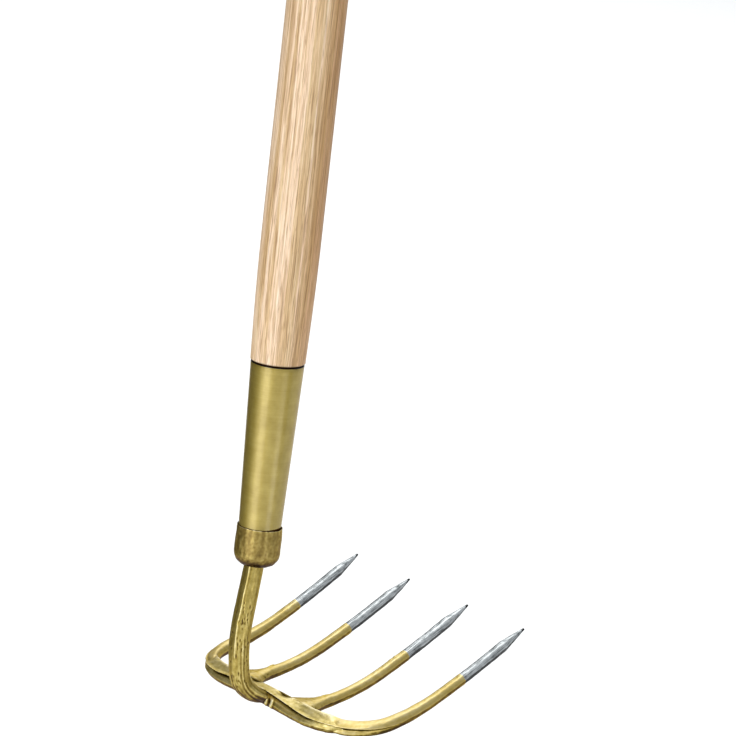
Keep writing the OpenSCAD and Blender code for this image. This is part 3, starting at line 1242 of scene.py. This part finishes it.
@dataclass
class Head:
    """Sizes that the crossbar and the tines share."""

    bar_back: float = 12.43 * MM
    bar_z: float = -98.05 * MM
    bar_depth: float = 8.0 * MM
    bar_height: float = BAR_HEIGHT
    corner_r: float = 33.0 * MM
    seam: float = math.radians(34)
    lap: float = 4.0 * MM
    # Both pieces of a scarf seam get thinner by this share over this length.
    scarf: float = 0.2
    scarf_run: float = 9.0 * MM
    inner_x: float = 25.2 * MM
    outer_x: float = 72.0 * MM
    splay: float = math.radians(1.3)
    tine_d: float = 6.4 * MM
    root_d: float = 7.8 * MM
    root_r: float = 130.0 * MM
    root_turn: float = math.radians(26)
    blade_r: float = 600.0 * MM
    blade_turn: float = math.radians(4.8)
    point: float = 16.0 * MM
    point_d: float = 1.2 * MM
    web: float = 20.0 * MM
    web_length: float = 17.0 * MM
    root_ease: float = 30.0 * MM
    step: float = 0.7 * MM

    def __post_init__(self) -> None:
        """Works out the lengths and places that follow from the sizes."""
        self.bar_front: float = self.bar_back + self.bar_depth
        self.bar_mid: float = self.bar_back + self.bar_depth / 2
        # Distances along a tine to the end of its root's bend, to its point and to its tip.
        self.root_end: float = self.root_r * self.root_turn
        self.blade_end: float = self.root_end + self.blade_r * self.blade_turn
        self.tine_end: float = self.blade_end + self.point
        self.tip_y: float = self.tine_at(self.tine_end)[0]
        # Corner from the bar into an outer tine: its turn, its middle and where it ends.
        self.corner_turn: float = math.pi / 2 - self.splay
        self.corner_mid_y: float = self.bar_mid + self.corner_r
        self.corner_end_y: float = self.corner_mid_y - self.corner_r * math.sin(self.splay)
        ahead = (self.corner_end_y - self.bar_front) / self.root_r
        self.corner_end: float = self.root_r * math.asin(ahead)
        drift = (self.tip_y - self.corner_end_y) * math.tan(self.splay)
        self.outer_root_x: float = self.outer_x - drift
        self.corner_mid_x: float = self.outer_root_x - self.corner_r * math.cos(self.splay)
        # Length of the crossbar's line from its middle to one end.
        self.bar_half: float = self.corner_mid_x + self.corner_r * self.seam + self.lap

    def tine_rise(self, s: float) -> float:
        """Rise of a tine's centre line at a distance along it."""
        bent = min(max(s, 0.0), self.root_end) / self.root_r
        return bent + min(max(s - self.root_end, 0.0) / self.blade_r, self.blade_turn)

    def tine_at(self, s: float) -> Pair:
        """Follows the centre line of a tine.

        Args:
            s: Distance along the tine from the front of the bar.

        Returns:
            Place in y and z.
        """
        a = min(s, self.root_end) / self.root_r
        y = self.bar_front + (self.root_r * math.sin(a) if s > 0 else s)
        z = self.bar_z + (self.root_r * (1 - math.cos(a)) if s > 0 else 0)
        if s > self.root_end:
            b = a + min(s - self.root_end, self.blade_end - self.root_end) / self.blade_r
            past = max(s - self.blade_end, 0.0)
            y += self.blade_r * (math.sin(b) - math.sin(a)) + past * math.cos(b)
            z += self.blade_r * (math.cos(a) - math.cos(b)) + past * math.sin(b)
        return y, z

    def corner_station(self, a: float, along: float) -> Station:
        """Places a station on the bar's corner.

        Args:
            a: Turn of the corner, from 0 on the bar to corner_turn at the tine.
            along: Distance that the station gets.

        Returns:
            Station whose side points away from the middle of the bend.
        """
        t = a / self.corner_turn
        x = self.corner_mid_x + self.corner_r * math.sin(a)
        y = self.corner_mid_y - self.corner_r * math.cos(a)
        rise = math.asin((y - self.bar_front) / self.root_r) if y > self.bar_front else 0.0
        at = Vector((x, y, self.bar_z + self.root_r * (1 - math.cos(rise))))
        side = Vector((math.sin(a), -math.cos(a), 0))
        ahead = Vector((math.cos(a), math.sin(a), math.sin(a) * math.tan(rise)))
        wide = self.bar_depth + (self.root_d - self.bar_depth) * t
        high = self.bar_height + (self.root_d - self.bar_height) * t
        return Station(at, side, side.cross(ahead).normalized(), wide, high, along)

    def tine_station(self, x: float, s: float, wide: float, high: float, splay: float) -> Station:
        """Places a station on the straight or bent part of a tine.

        Args:
            x: Sideways place.
            s: Distance along the tine.
            wide: Width of the section.
            high: Height of the section.
            splay: Outward turn of the tine.

        Returns:
            Station whose side points outwards.
        """
        y, z = self.tine_at(s)
        rise = self.tine_rise(s)
        back = -math.sin(rise)
        side = Vector((math.cos(splay), -math.sin(splay), 0))
        up = Vector((back * math.sin(splay), back * math.cos(splay), math.cos(rise)))
        return Station(Vector((x, y, z)), side, up, wide, high, s)

    def slender(self, past: float) -> float:
        """Thickness of a tine at a distance past its root."""
        return self.tine_d + (self.root_d - self.tine_d) * max(0.0, 1 - past / self.root_ease)


# Edge of the bar's lip, and where the flank below it starts and ends, in the plain section.
LIP, FLANK, FLANK_LOW = 0.96, 0.7, -0.5
BAR_SECTION = Section(
    corners=(
        (LIP, 1.0),
        (1.0, FLANK_LOW),
        (0.52, -1.0),
        (-0.55, -1.0),
        (-1.0, -0.1),
        (-0.9, 1.0),
    ),
    rounding=(0.05, 0.25, 0.25, 0.25, 0.3, 0.14),
    longest=0.075,
)
TINE_SECTION = Section(
    corners=((0.6, 1.0), (1.0, 0.1), (0.48, -1.0), (-0.48, -1.0), (-1.0, 0.1), (-0.6, 1.0)),
    rounding=(0.42, 0.06, 0.3, 0.3, 0.06, 0.42),
    longest=0.13,
)


@dataclass
class Crossbar:
    """Forged bar across the head, with a lip along its top and a grooved back.

    Pairs along the bar are measured from its middle. Pairs in the section are shares of it.
    """

    head: Head
    rib_places: Pair = (6.6 * MM, 11.2 * MM)
    rib_reach: float = 1.9 * MM
    rib_height: float = 0.6 * MM
    rib_lean: float = 0.05
    rib_bow: float = 70.0
    rib_back: Pair = (0.3, 0.8)
    rib_tall: Pair = (0.7, 0.3)
    groove: float = 1.5 * MM
    groove_opens: Pair = (7.0 * MM, 20.0 * MM)
    groove_closes: Pair = (46.0 * MM, 38.0 * MM)
    groove_top: Pair = (0.02, 0.1)
    groove_foot: Pair = (0.52, 0.13)
    seam_groove: float = 0.4 * MM
    lip_fall: float = 3.3 * MM
    lip_run: Pair = (2.0 * MM, 42.0 * MM)
    belly: float = 1.3 * MM
    belly_hump: Pair = (31.0 * MM, 25.0 * MM)
    belly_tall: Pair = (0.5, -0.4)
    belly_back: Pair = (-0.5, 0.5)
    saddle: float = 1.4 * MM
    saddle_hump: Pair = (13.0 * MM, 8.0 * MM)
    saddle_back: Pair = (0.5, -0.9)
    # Strength of the painted shade at the toe, on the front edge and in the groove, and where it
    # lies.
    shade_strengths: Triple = (0.8, 0.8, 0.6)
    toe_hump: Pair = (4.2 * MM, 2.2 * MM)
    toe_run: Pair = (14.0 * MM, 12.5 * MM)
    front_inset: float = 0.2 * MM
    front_reach: float = 1.4 * MM
    front_hump: Pair = (12.0 * MM, 5.0 * MM)
    wedge_top: Pair = (0.1 * MM, 0.5 * MM)
    wedge_foot: Pair = (3.0 * MM, 0.8 * MM)
    wedge_run: float = 1.0 * MM
    marks: Marks = (((8.0, 2.4, 2.4), 0.16), ((2.2, 1.8, 1.8), 0.06))
    seed: int = 11
    relief: tuple[int, float] = (8, 0.16 * MM)
    step: float = 0.6 * MM

    def stations(self) -> list[Station]:
        """Places the stations of the bar.

        Returns:
            Stations from the left seam to the right one.
        """
        head = self.head
        made = []
        for along in spaced(-head.bar_half, head.bar_half, self.step):
            beyond = max(abs(along) - head.corner_mid_x, 0.0)
            there = head.corner_station(beyond / head.corner_r, abs(along))
            at, side, up = there.at.copy(), there.side.copy(), there.up.copy()
            if not beyond:
                at.x = abs(along)
            if along < 0:
                for part in (at, side, up):
                    part.x = -part.x
            made.append(Station(at, side, up, there.wide, there.high, along))
        return made

    def fall(self, out: float) -> float:
        """Drop of the lip at a distance from the middle of the bar."""
        return self.lip_fall * ease(out, *self.lip_run)

    def opened(self, out: float) -> float:
        """Share of the groove's full depth at a distance from the middle of the bar."""
        return ease(out, *self.groove_opens) * ease(out, *self.groove_closes)

    def carve(self, point: Vector, station: Station) -> Vector:
        """Shapes the lip, the groove below it, the belly and the weld ribs beside the toe.

        Args:
            point: Point of the plain section.
            station: Station that it belongs to.

        Returns:
            Moved point.
        """
        out = abs(station.along)
        back, tall = 2 * point.x / station.wide, 2 * point.y / station.high
        fall = self.fall(out)
        moved = point.copy()
        if tall > LIP:
            saddle = self.saddle * bump(out, *self.saddle_hump) * ease(back, *self.saddle_back)
            moved.y -= fall * ease(back, -1.0, LIP) + saddle
        elif back > FLANK and tall > FLANK_LOW:
            down = (1 - tall) / (1 - FLANK_LOW)
            moved.y -= fall * (1 - down)
            groove = ease(down, *self.groove_top) * ease(down, *self.groove_foot)
            wide_open = self.opened(out)
            moved.x -= groove * (self.groove * wide_open + self.seam_groove * (1 - wide_open))
        low = ease(tall, *self.belly_tall) * ease(back, *self.belly_back)
        moved.x += self.belly * bump(out, *self.belly_hump) * low
        bowed = out - self.rib_lean * point.y + self.rib_bow * point.y**2
        rise = max(bump(bowed, place, self.rib_reach) for place in self.rib_places)
        moved.x += rise * ease(back, *self.rib_back) * ease(tall, *self.rib_tall) * self.rib_height
        half = self.head.bar_half
        return moved * (1 - self.head.scarf * ease(out, half - self.head.scarf_run, half))

    def shade_and_dirt(self, spot: Vector) -> float:
        """Finds the painted shade beside the toe, on the front edge and below the lip.

        Args:
            spot: Place measured from the rim of the cup.

        Returns:
            The strongest of the three.
        """
        head = self.head
        out = abs(spot.x)
        toe = bump(out, *self.toe_hump) * ease(spot.y, *self.toe_run)
        front = bump(spot.y, head.bar_front - self.front_inset, self.front_reach)
        below = head.bar_height / 2 - self.fall(out) - (spot.z - head.bar_z)
        wedge = ease(below, *self.wedge_top) * ease(below, *self.wedge_foot) * self.opened(out)
        behind = ease(spot.y, head.bar_mid, head.bar_mid - self.wedge_run)
        places = (toe, front * bump(out, *self.front_hump), wedge * behind)
        return max(share * place for share, place in zip(self.shade_strengths, places))

    def build(self, lacquer: Material) -> None:
        """Builds the crossbar.

        Args:
            lacquer: Material of the bar.
        """
        bm = sweep(BAR_SECTION, self.stations(), self.carve)
        roughen(bm, self.seed, self.marks)
        settle(bm, "forged_crossbar", "crossbar", [lacquer], self.relief, self.shade_and_dirt)


@dataclass
class Tine:
    """One claw tine: lacquered from its root, then bare ground steel to its point.

    Pairs across and up the section are shares of it, from -1 to 1.
    """

    head: Head
    row: Row
    side: Side
    seed: int
    lacquer_y: float
    lift: float
    flash: tuple[float, ...]
    lift_from: float = 10.0 * MM
    lift_gain: float = 1.6
    bury: float = 1.5 * MM
    # Root of an inner tine: how far its web and its height run on, and how it bulges inwards.
    web_past: float = 2.0 * MM
    web_curve: float = 1.5
    root_run: float = 14.0 * MM
    root_inset: float = 0.2 * MM
    bulge: float = 0.4
    bulge_past: float = 4.0 * MM
    # Root of an outer tine: it carries on the bar's belly, groove and sloping top.
    carry: float = 42.0 * MM
    carry_out: Pair = (0.0, 0.5)
    belly: float = 0.26
    belly_hump: Pair = (-0.62, 0.5)
    groove: float = 0.24
    groove_hump: Pair = (-0.02, 0.24)
    slope: float = 0.62
    slope_out: Pair = (-0.9, 0.9)
    slope_tall: Pair = (0.2, 0.9)
    # Painted shade in a line along the crest on one side, before the lacquer's end, and torn flash
    # on the crest, which is darkened too.
    crest_shade_run: Pair = (34.0 * MM, 8.0 * MM)
    crest_shade_across: Pair = (-0.16, -0.34)
    crest_shade_tall: Pair = (0.45, 0.65)
    crest_shade_most: float = 1.2
    flash_reach: float = 5.0 * MM
    flash_height: float = 0.6 * MM
    flash_wave: float = 2.2 * MM
    flash_gain: float = 1.8
    flash_across: Pair = (0.05, -0.4)
    flash_tall: Pair = (0.6, 0.95)
    # Step down to the bare steel, and the uneven end of the lacquer.
    bare_step: float = 0.16 * MM
    bare_run: float = 0.9 * MM
    bare_early: float = 0.2 * MM
    ragged: float = 0.5 * MM
    ragged_reach: float = 6.0 * MM
    ragged_wave: float = 2.2 * MM
    ragged_pattern: float = 4.7
    # Darker tip, painted shade in patches below the turned end of an outer tine, and dark flecks on
    # the root of an inner one.
    tip_dark: Pair = (2.6 * MM, 0.2 * MM)
    shade_patch_hump: Pair = (43.0 * MM, 19.0 * MM)
    shade_patch_below: Pair = (0.4 * MM, 1.8 * MM)
    shade_patch_size: float = 3.0 * MM
    shade_patch_level: float = 1.1
    shade_patch_contrast: float = 1.3
    fleck: float = 1.6 * MM
    fleck_run: Pair = (28.0 * MM, 6.0 * MM)
    fleck_level: float = 0.12
    fleck_contrast: float = 0.9
    marks: Marks = (((2.4, 7.0, 2.4), 0.11), ((1.8, 2.6, 1.8), 0.06))
    relief: tuple[int, float] = (6, 0.25 * MM)
    halvings: int = 40

    def __post_init__(self) -> None:
        """Works out the node's name, and where the piece starts and its lacquer ends."""
        head = self.head
        self.node: str = f"{self.row.value}_{self.side.name.lower()}_tine"
        seam = head.corner_end - head.corner_r * (head.corner_turn - head.seam) - head.lap
        self.start: float = -self.bury if self.row is Row.INNER else seam
        low, high = 0.0, head.tine_end
        for _ in range(self.halvings):
            middle = (low + high) / 2
            if head.tine_at(middle)[0] < self.lacquer_y:
                low = middle
            else:
                high = middle
        self.lacquer_end: float = low

    def size(self, s: float, base: float) -> float:
        """Finds the thickness of the tine, with its point and its bare step.

        Args:
            s: Distance along the tine.
            base: Distance at which its root ends.

        Returns:
            Thickness.
        """
        head = self.head
        d = head.slender(s - base)
        if s > head.blade_end:
            d += (head.point_d - d) * (s - head.blade_end) / head.point
        bare = ease(s, self.lacquer_end, self.lacquer_end + self.bare_run)
        return d - 2 * self.bare_step * bare * min(1, d / head.tine_d)

    def inner_stations(self) -> list[Station]:
        """Places the stations of an inner tine.

        Returns:
            Stations from inside the bar to the tip.
        """
        head = self.head
        made = []
        for s in spaced(self.start, head.tine_end, head.step):
            d = self.size(s, 0.0)
            web = max(0.0, 1 - max(s, 0.0) / (head.web_length + self.web_past)) ** self.web_curve
            root = (1 - ease(s, 0.0, self.root_run)) * (head.bar_height - self.root_inset - d)
            wide, high = d + (head.web - d) * web, d + max(root, 0)
            made.append(head.tine_station(head.inner_x, s, wide, high, 0.0))
        return made

    def outer_stations(self) -> list[Station]:
        """Places the stations of an outer tine.

        Returns:
            Stations from the seam on the bar's corner to the tip.
        """
        head = self.head
        made = []
        for s in spaced(self.start, head.corner_end, head.step)[:-1]:
            turned = head.corner_turn - (head.corner_end - s) / head.corner_r
            made.append(head.corner_station(turned, s))
        for s in spaced(head.corner_end, head.tine_end, head.step):
            d = self.size(s, head.corner_end)
            ahead = head.tine_at(s)[0] - head.corner_end_y
            x = head.outer_root_x + ahead * math.tan(head.splay)
            made.append(head.tine_station(x, s, d, d, head.splay))
        return made

    def carve(self, point: Vector, station: Station) -> Vector:
        """Bulges the root of an inner tine, or carries the bar's shape on into an outer one.

        Args:
            point: Point of the plain section.
            station: Station that it belongs to.

        Returns:
            Moved point.
        """
        head = self.head
        if self.row is Row.INNER:
            flare = max(0.0, 1 - max(station.along, 0.0) / (head.web_length + self.bulge_past))
            return Vector((point.x * (1 + self.bulge * flare if point.x < 0 else 1), point.y))
        out, tall = 2 * point.x / station.wide, 2 * point.y / station.high
        fade = 1 - ease(station.along, self.start, self.start + self.carry)
        side = ease(out, *self.carry_out)
        belly = self.belly * bump(tall, *self.belly_hump) * side
        groove = self.groove * bump(tall, *self.groove_hump) * side
        slope = self.slope * ease(out, *self.slope_out) * ease(tall, *self.slope_tall)
        shift = Vector(((belly - groove) * station.wide, -slope * station.high)) / 2
        thin = 1 - head.scarf * ease(station.along, self.start + head.scarf_run, self.start)
        return (point + shift * fade) * thin

    def mark_crest_shade(self, bm: BMesh) -> None:
        """Marks a painted shade line along the crest on one side and raises torn flash on it, which
        is darkened too.

        Args:
            bm: Mesh that takes the scale_strip layer.
        """
        strip = bm.verts.layers.float.new("scale_strip")
        flat = bm.verts.layers.float_vector["flat"]
        along = bm.verts.layers.float["along"]
        begin, full = [self.lacquer_end - before for before in self.crest_shade_run]
        for vert in bm.verts:
            s, across, tall = vert[along], vert[flat].x * self.side.value, vert[flat].y
            crest = ease(across, *self.crest_shade_across) * ease(tall, *self.crest_shade_tall)
            torn = max((bump(s, place, self.flash_reach) for place in self.flash), default=0.0)
            wave = noise.noise(Vector((s / self.flash_wave, self.seed + 0.5, 0)))
            upper = ease(across, *self.flash_across) * ease(tall, *self.flash_tall)
            raised = self.flash_gain * abs(wave) * torn * upper
            vert[strip] = max(ease(s, begin, full) * crest, min(2 * raised, self.crest_shade_most))
            vert.co.z += self.flash_height * raised

    def fray(self, bm: BMesh) -> None:
        """Makes the end of the lacquer uneven and gives what is past it to the bare steel.

        Args:
            bm: Mesh of the tine.
        """
        along = bm.verts.layers.float["along"]
        edge = self.lacquer_end
        for face in bm.faces:
            bare = min(v[along] for v in face.verts) > edge - self.bare_early
            face.material_index = int(bare)
        for vert in bm.verts:
            near = bump(vert[along], edge, self.ragged_reach)
            if near:
                spot = Vector((vert.co.x, vert.co.z, 0)) / self.ragged_wave
                shift = noise.noise(spot + Vector((self.seed * self.ragged_pattern, 0, 0)))
                rise = self.head.tine_rise(vert[along])
                vert.co += Vector((0, math.cos(rise), math.sin(rise))) * shift * near * self.ragged

    def shade_and_dirt(self, spot: Vector) -> float:
        """Finds the painted shade and dark marks at a place.

        Args:
            spot: Place measured from the rim of the cup.

        Returns:
            Painted shade in patches below the turned end of an outer tine or dark flecks on the
            root of an inner one, darker towards the bar, and the darker tip of the point.
        """
        head = self.head
        dark = ease(spot.y, *(head.tip_y - before for before in self.tip_dark))
        if self.row is Row.OUTER:
            ahead = min(max(spot.y - head.bar_front, 0.0), head.root_r * math.sin(head.root_turn))
            middle = head.bar_z + head.root_r - math.sqrt(head.root_r**2 - ahead**2)
            below = ease(middle - spot.z, *self.shade_patch_below)
            cloud = self.shade_patch_level + self.shade_patch_contrast * noise.noise(spot / self.shade_patch_size)
            patch = min(max(cloud, 0.0), 1.0)
            return max(dark, patch * bump(spot.y, *self.shade_patch_hump) * below)
        fleck = max(noise.noise(spot / self.fleck), 0.0)
        root = ease(spot.y, *(head.bar_front + past for past in self.fleck_run))
        return max(dark, (self.fleck_level + self.fleck_contrast * fleck) * root)

    def build(self, lacquer: Material, steel: Material) -> None:
        """Builds the tine.

        Args:
            lacquer: Material from the root.
            steel: Material of the bare end.
        """
        stations = self.inner_stations() if self.row is Row.INNER else self.outer_stations()
        bm = sweep(TINE_SECTION, stations, self.carve)
        if self.side is Side.LEFT:
            bmesh.ops.scale(bm, verts=bm.verts, vec=(-1, 1, 1))
            bmesh.ops.recalc_face_normals(bm, faces=bm.faces)
        self.mark_crest_shade(bm)
        self.fray(bm)
        roughen(bm, self.seed, self.marks)
        along = bm.verts.layers.float["along"]
        gain = self.lift_gain
        for vert in bm.verts:
            part = ease(vert[along], self.lift_from, gain * self.head.tine_end)
            vert.co.z += self.lift * part * gain
        name = "forged_" + self.node
        settle(bm, name, self.node, [lacquer, steel], self.relief, self.shade_and_dirt)


@dataclass
class PhotoCamera:
    """Camera at the photograph's viewing angle, found from the outline of the tool."""

    elevation: float = math.radians(12.902)
    roll: float = math.radians(6.586)
    distance: float = 1.8
    right: float = 57.876 * MM
    above: float = 84.167 * MM
    focal_pixels: float = 3361.15
    frame_pixels: float = 736.0
    sensor_mm: float = 36.0
    clip: Pair = (0.01, 100.0)

    def build(self) -> None:
        """Makes the camera and gives it to the scene."""
        flat = Vector((math.cos(VIEW_TURN), math.sin(VIEW_TURN), 0))
        level = math.cos(self.elevation)
        back = Vector((flat.y * level, -flat.x * level, math.sin(self.elevation)))
        lift = back.cross(flat)
        right = flat * math.cos(self.roll) + lift * math.sin(self.roll)
        up = lift * math.cos(self.roll) - flat * math.sin(self.roll)
        eye = right * self.right + up * self.above + back * self.distance
        eye.z += RIM_Z
        lens = bpy.data.cameras.new("photo_camera")
        lens.sensor_width = self.sensor_mm
        lens.lens = self.sensor_mm * self.focal_pixels / self.frame_pixels
        lens.clip_start, lens.clip_end = self.clip
        camera = bpy.data.objects.new("photo_camera", lens)
        axes = Matrix((right, up, back)).transposed().to_4x4()
        camera.matrix_world = Matrix.Translation(eye) @ axes
        bpy.context.scene.collection.objects.link(camera)
        bpy.context.scene.camera = camera
        log.info("photo_camera: lens %.1f mm", lens.lens)


@dataclass(frozen=True)
class Softbox:
    """Flat soft lamp."""

    name: str
    at: Triple
    aim: Triple
    wide: float
    high: float
    watts: float

    def build(self) -> None:
        """Hangs the lamp. It lights and is mirrored, but never stands in the picture."""
        light = bpy.data.lights.new(self.name, "AREA")
        light.shape = "RECTANGLE"
        light.size, light.size_y = self.wide, self.high
        light.energy = self.watts
        lamp = bpy.data.objects.new(self.name, light)
        away = Vector(self.aim) - Vector(self.at)
        turned = away.to_track_quat("-Z", "Y").to_matrix().to_4x4()
        lamp.matrix_world = Matrix.Translation(self.at) @ turned
        lamp.visible_camera = False
        bpy.context.scene.collection.objects.link(lamp)


@dataclass(frozen=True)
class Flag:
    """Dark card that puts a dark band into reflections, or keeps light off one side."""

    name: str
    stops: Ray
    angle: float
    distance: float
    wide: float
    low: float
    high: float


@dataclass
class Studio:
    """Pale floor, soft lamps, dark cards and a grey room."""

    floor_drop: float = 200.0 * MM
    floor_half: float = 20.0
    room: str = "D9DCE0"
    room_strength: float = 0.75
    lamps: list[Softbox] = field(default_factory=list)
    flags: list[Flag] = field(default_factory=list)

    @property
    def floor_z(self) -> float:
        """Height of the floor."""
        return CAD_BOX[0].z - self.floor_drop

    def __post_init__(self) -> None:
        """Hangs the lamps and stands the dark cards round the head of the tool."""
        axis = (0.0, 0.0, -1.0)
        head = (0.0, 0.05, RIM_Z - 0.03)
        claw = (0.0, 0.0, -1.1)
        ceiling = self.around(60, 0.9, 1.7)
        far = self.around(180, 3.4, 2.2)
        below_far = (far[0], far[1], -1.0)
        strip = self.around(37, 0.75, self.floor_z + 0.65)
        beside_strip = (0.0, 0.0, strip[2])
        front = self.around(-8, 2.6, 0.2)
        low = self.around(-45, 0.75, -1.285)
        self.lamps += [
            Softbox("ceiling_softbox", ceiling, axis, wide=3.0, high=3.0, watts=24.0),
            Softbox("far_softbox", far, below_far, wide=6.5, high=6.5, watts=165.0),
            Softbox("key_strip", strip, beside_strip, wide=0.42, high=1.3, watts=3.6),
            Softbox("front_fill", front, head, wide=1.2, high=1.2, watts=7.5),
            Softbox("low_kicker", low, claw, wide=0.3, high=0.11, watts=0.26),
        ]
        self.flags += [
            Flag("left_flag", Ray.GLOSSY, 112, 0.5, wide=0.85, low=-1.34, high=-0.04),
            Flag("right_flag", Ray.GLOSSY, -65, 0.55, wide=0.22, low=-1.165, high=-1.05),
            Flag("left_shade", Ray.DIFFUSE, 104, 0.22, wide=0.4, low=-1.0, high=-0.3),
            Flag("right_shade", Ray.DIFFUSE, -98, 0.2, wide=0.36, low=-1.0, high=-0.3),
        ]

    def around(self, angle: float, distance: float, height: float) -> Triple:
        """Finds a place round the tool.

        Args:
            angle: Degrees to the left of the camera, seen from the tool.
            distance: Distance from the handle's axis.
            height: Height in the frame of the hand grip.

        Returns:
            The place.
        """
        turned = VIEW_TURN - math.radians(angle)
        return distance * math.sin(turned), -distance * math.cos(turned), height

    def lay(self, name: str, corners: Matrix, paper: StudioPaper, half: float) -> bpy.types.Object:
        """Lays a flat sheet of the studio.

        Args:
            name: Name of the sheet.
            corners: Its place and size.
            paper: Its finish.
            half: Half of its side before the matrix scales it.

        Returns:
            The sheet.
        """
        bm = bmesh.new()
        bmesh.ops.create_grid(bm, x_segments=4, y_segments=4, size=half)
        bmesh.ops.transform(bm, matrix=corners, verts=bm.verts)
        mesh = bpy.data.meshes.new(name)
        bm.to_mesh(mesh)
        bm.free()
        mesh.materials.append(paper.material())
        sheet = bpy.data.objects.new(name, mesh)
        bpy.context.scene.collection.objects.link(sheet)
        return sheet

    def build(self) -> None:
        """Sets up the floor, the lamps, the cards, the room and the view."""
        paper = StudioPaper("white seamless paper", "F8F8F7", "FAFAF9")
        self.lay("floor", Matrix.Translation((0, 0, self.floor_z)), paper, self.floor_half)
        for lamp in self.lamps:
            lamp.build()
        felt = StudioPaper("dark grey felt", "5A5A58", "626260")
        for flag in self.flags:
            at = self.around(flag.angle, flag.distance, (flag.low + flag.high) / 2)
            turned = VIEW_TURN - math.radians(flag.angle)
            stand = Matrix.Rotation(turned, 4, "Z") @ Matrix.Rotation(math.pi / 2, 4, "X")
            size = Matrix.Diagonal((flag.wide, flag.high - flag.low, 1, 1))
            sheet = self.lay(flag.name, Matrix.Translation(at) @ stand @ size, felt, 0.5)
            sheet.visible_camera = sheet.visible_shadow = False
            for ray in Ray:
                setattr(sheet, ray.value, ray is flag.stops)
        world = bpy.data.worlds.new("grey_room")
        world.use_nodes = True
        background = world.node_tree.nodes["Background"]
        background.inputs["Color"].default_value = linear(self.room)
        background.inputs["Strength"].default_value = self.room_strength
        bpy.context.scene.world = world
        bpy.context.scene.view_settings.view_transform = "Standard"
        log.info("studio: floor at %.3f m and %d lamps", self.floor_z, len(self.lamps))


def main() -> None:
    """Builds the tool piece by piece, then the studio and the camera."""
    logging.basicConfig(level=logging.INFO, format="%(name)s %(message)s")
    wood = AshWood().material()
    satin = DrawnLacquer().material()
    pin = PinSteel().material()
    # Painted shade for the seams at both ends of the ferrule.
    seam_shade = SeamShade().material()
    forged = GoldLacquer("gold lacquer on forged steel").material()
    upset = GoldLacquer(
        "gold lacquer on the upset cup",
        darkest="1E1204",
        dark="523E16",
        body="8A753A",
        light="B4A05C",
        lightest="DCCC98",
        mottle=4.0 * MM,
        grit=1.2 * MM,
        stretch=(1.0, 1.0, 0.45),
        mottling=0.28,
        underside_shade_depth=0.7,
        rough=0.43,
    ).material()
    bright = GoldLacquer(
        "gold lacquer on drawn-out tines",
        darkest="39300F",
        dark="665420",
        body="B8A258",
        light="CAB674",
        lightest="DACA96",
        stretch=(1.0, 0.35, 0.7),
        mottling=0.5,
        underside_shade_depth=0.72,
        coat=0.06,
    ).material()
    barred = GoldLacquer(
        "gold lacquer on the forged bar",
        darkest="332910",
        body="A99750",
        light="D0C082",
        lightest="EEE4BE",
        mottling=0.34,
        underside_shade_depth=0.55,
        coat=0.12,
    ).material()
    steel = GroundSteel().material()

    Handle().build(wood, seam_shade)
    Ferrule().build(satin, seam_shade, pin)
    BolsterCup().build(upset)
    Shank().build(forged)
    head = Head()
    Crossbar(head).build(barred)
    for row, side, seed, lacquer_y, lift, flash in (
        (Row.INNER, Side.LEFT, 21, 93.0 * MM, 0.6 * MM, (22 * MM,)),
        (Row.INNER, Side.RIGHT, 22, 93.2 * MM, 0.6 * MM, (18 * MM, 69 * MM)),
        (Row.OUTER, Side.LEFT, 23, 92.5 * MM, 1.5 * MM, ()),
        (Row.OUTER, Side.RIGHT, 24, 94.2 * MM, 1.3 * MM, ()),
    ):
        Tine(head, row, side, seed, lacquer_y, lift, flash).build(bright, steel)
    Studio().build()
    PhotoCamera().build()


if __name__ == "__main__":
    main()
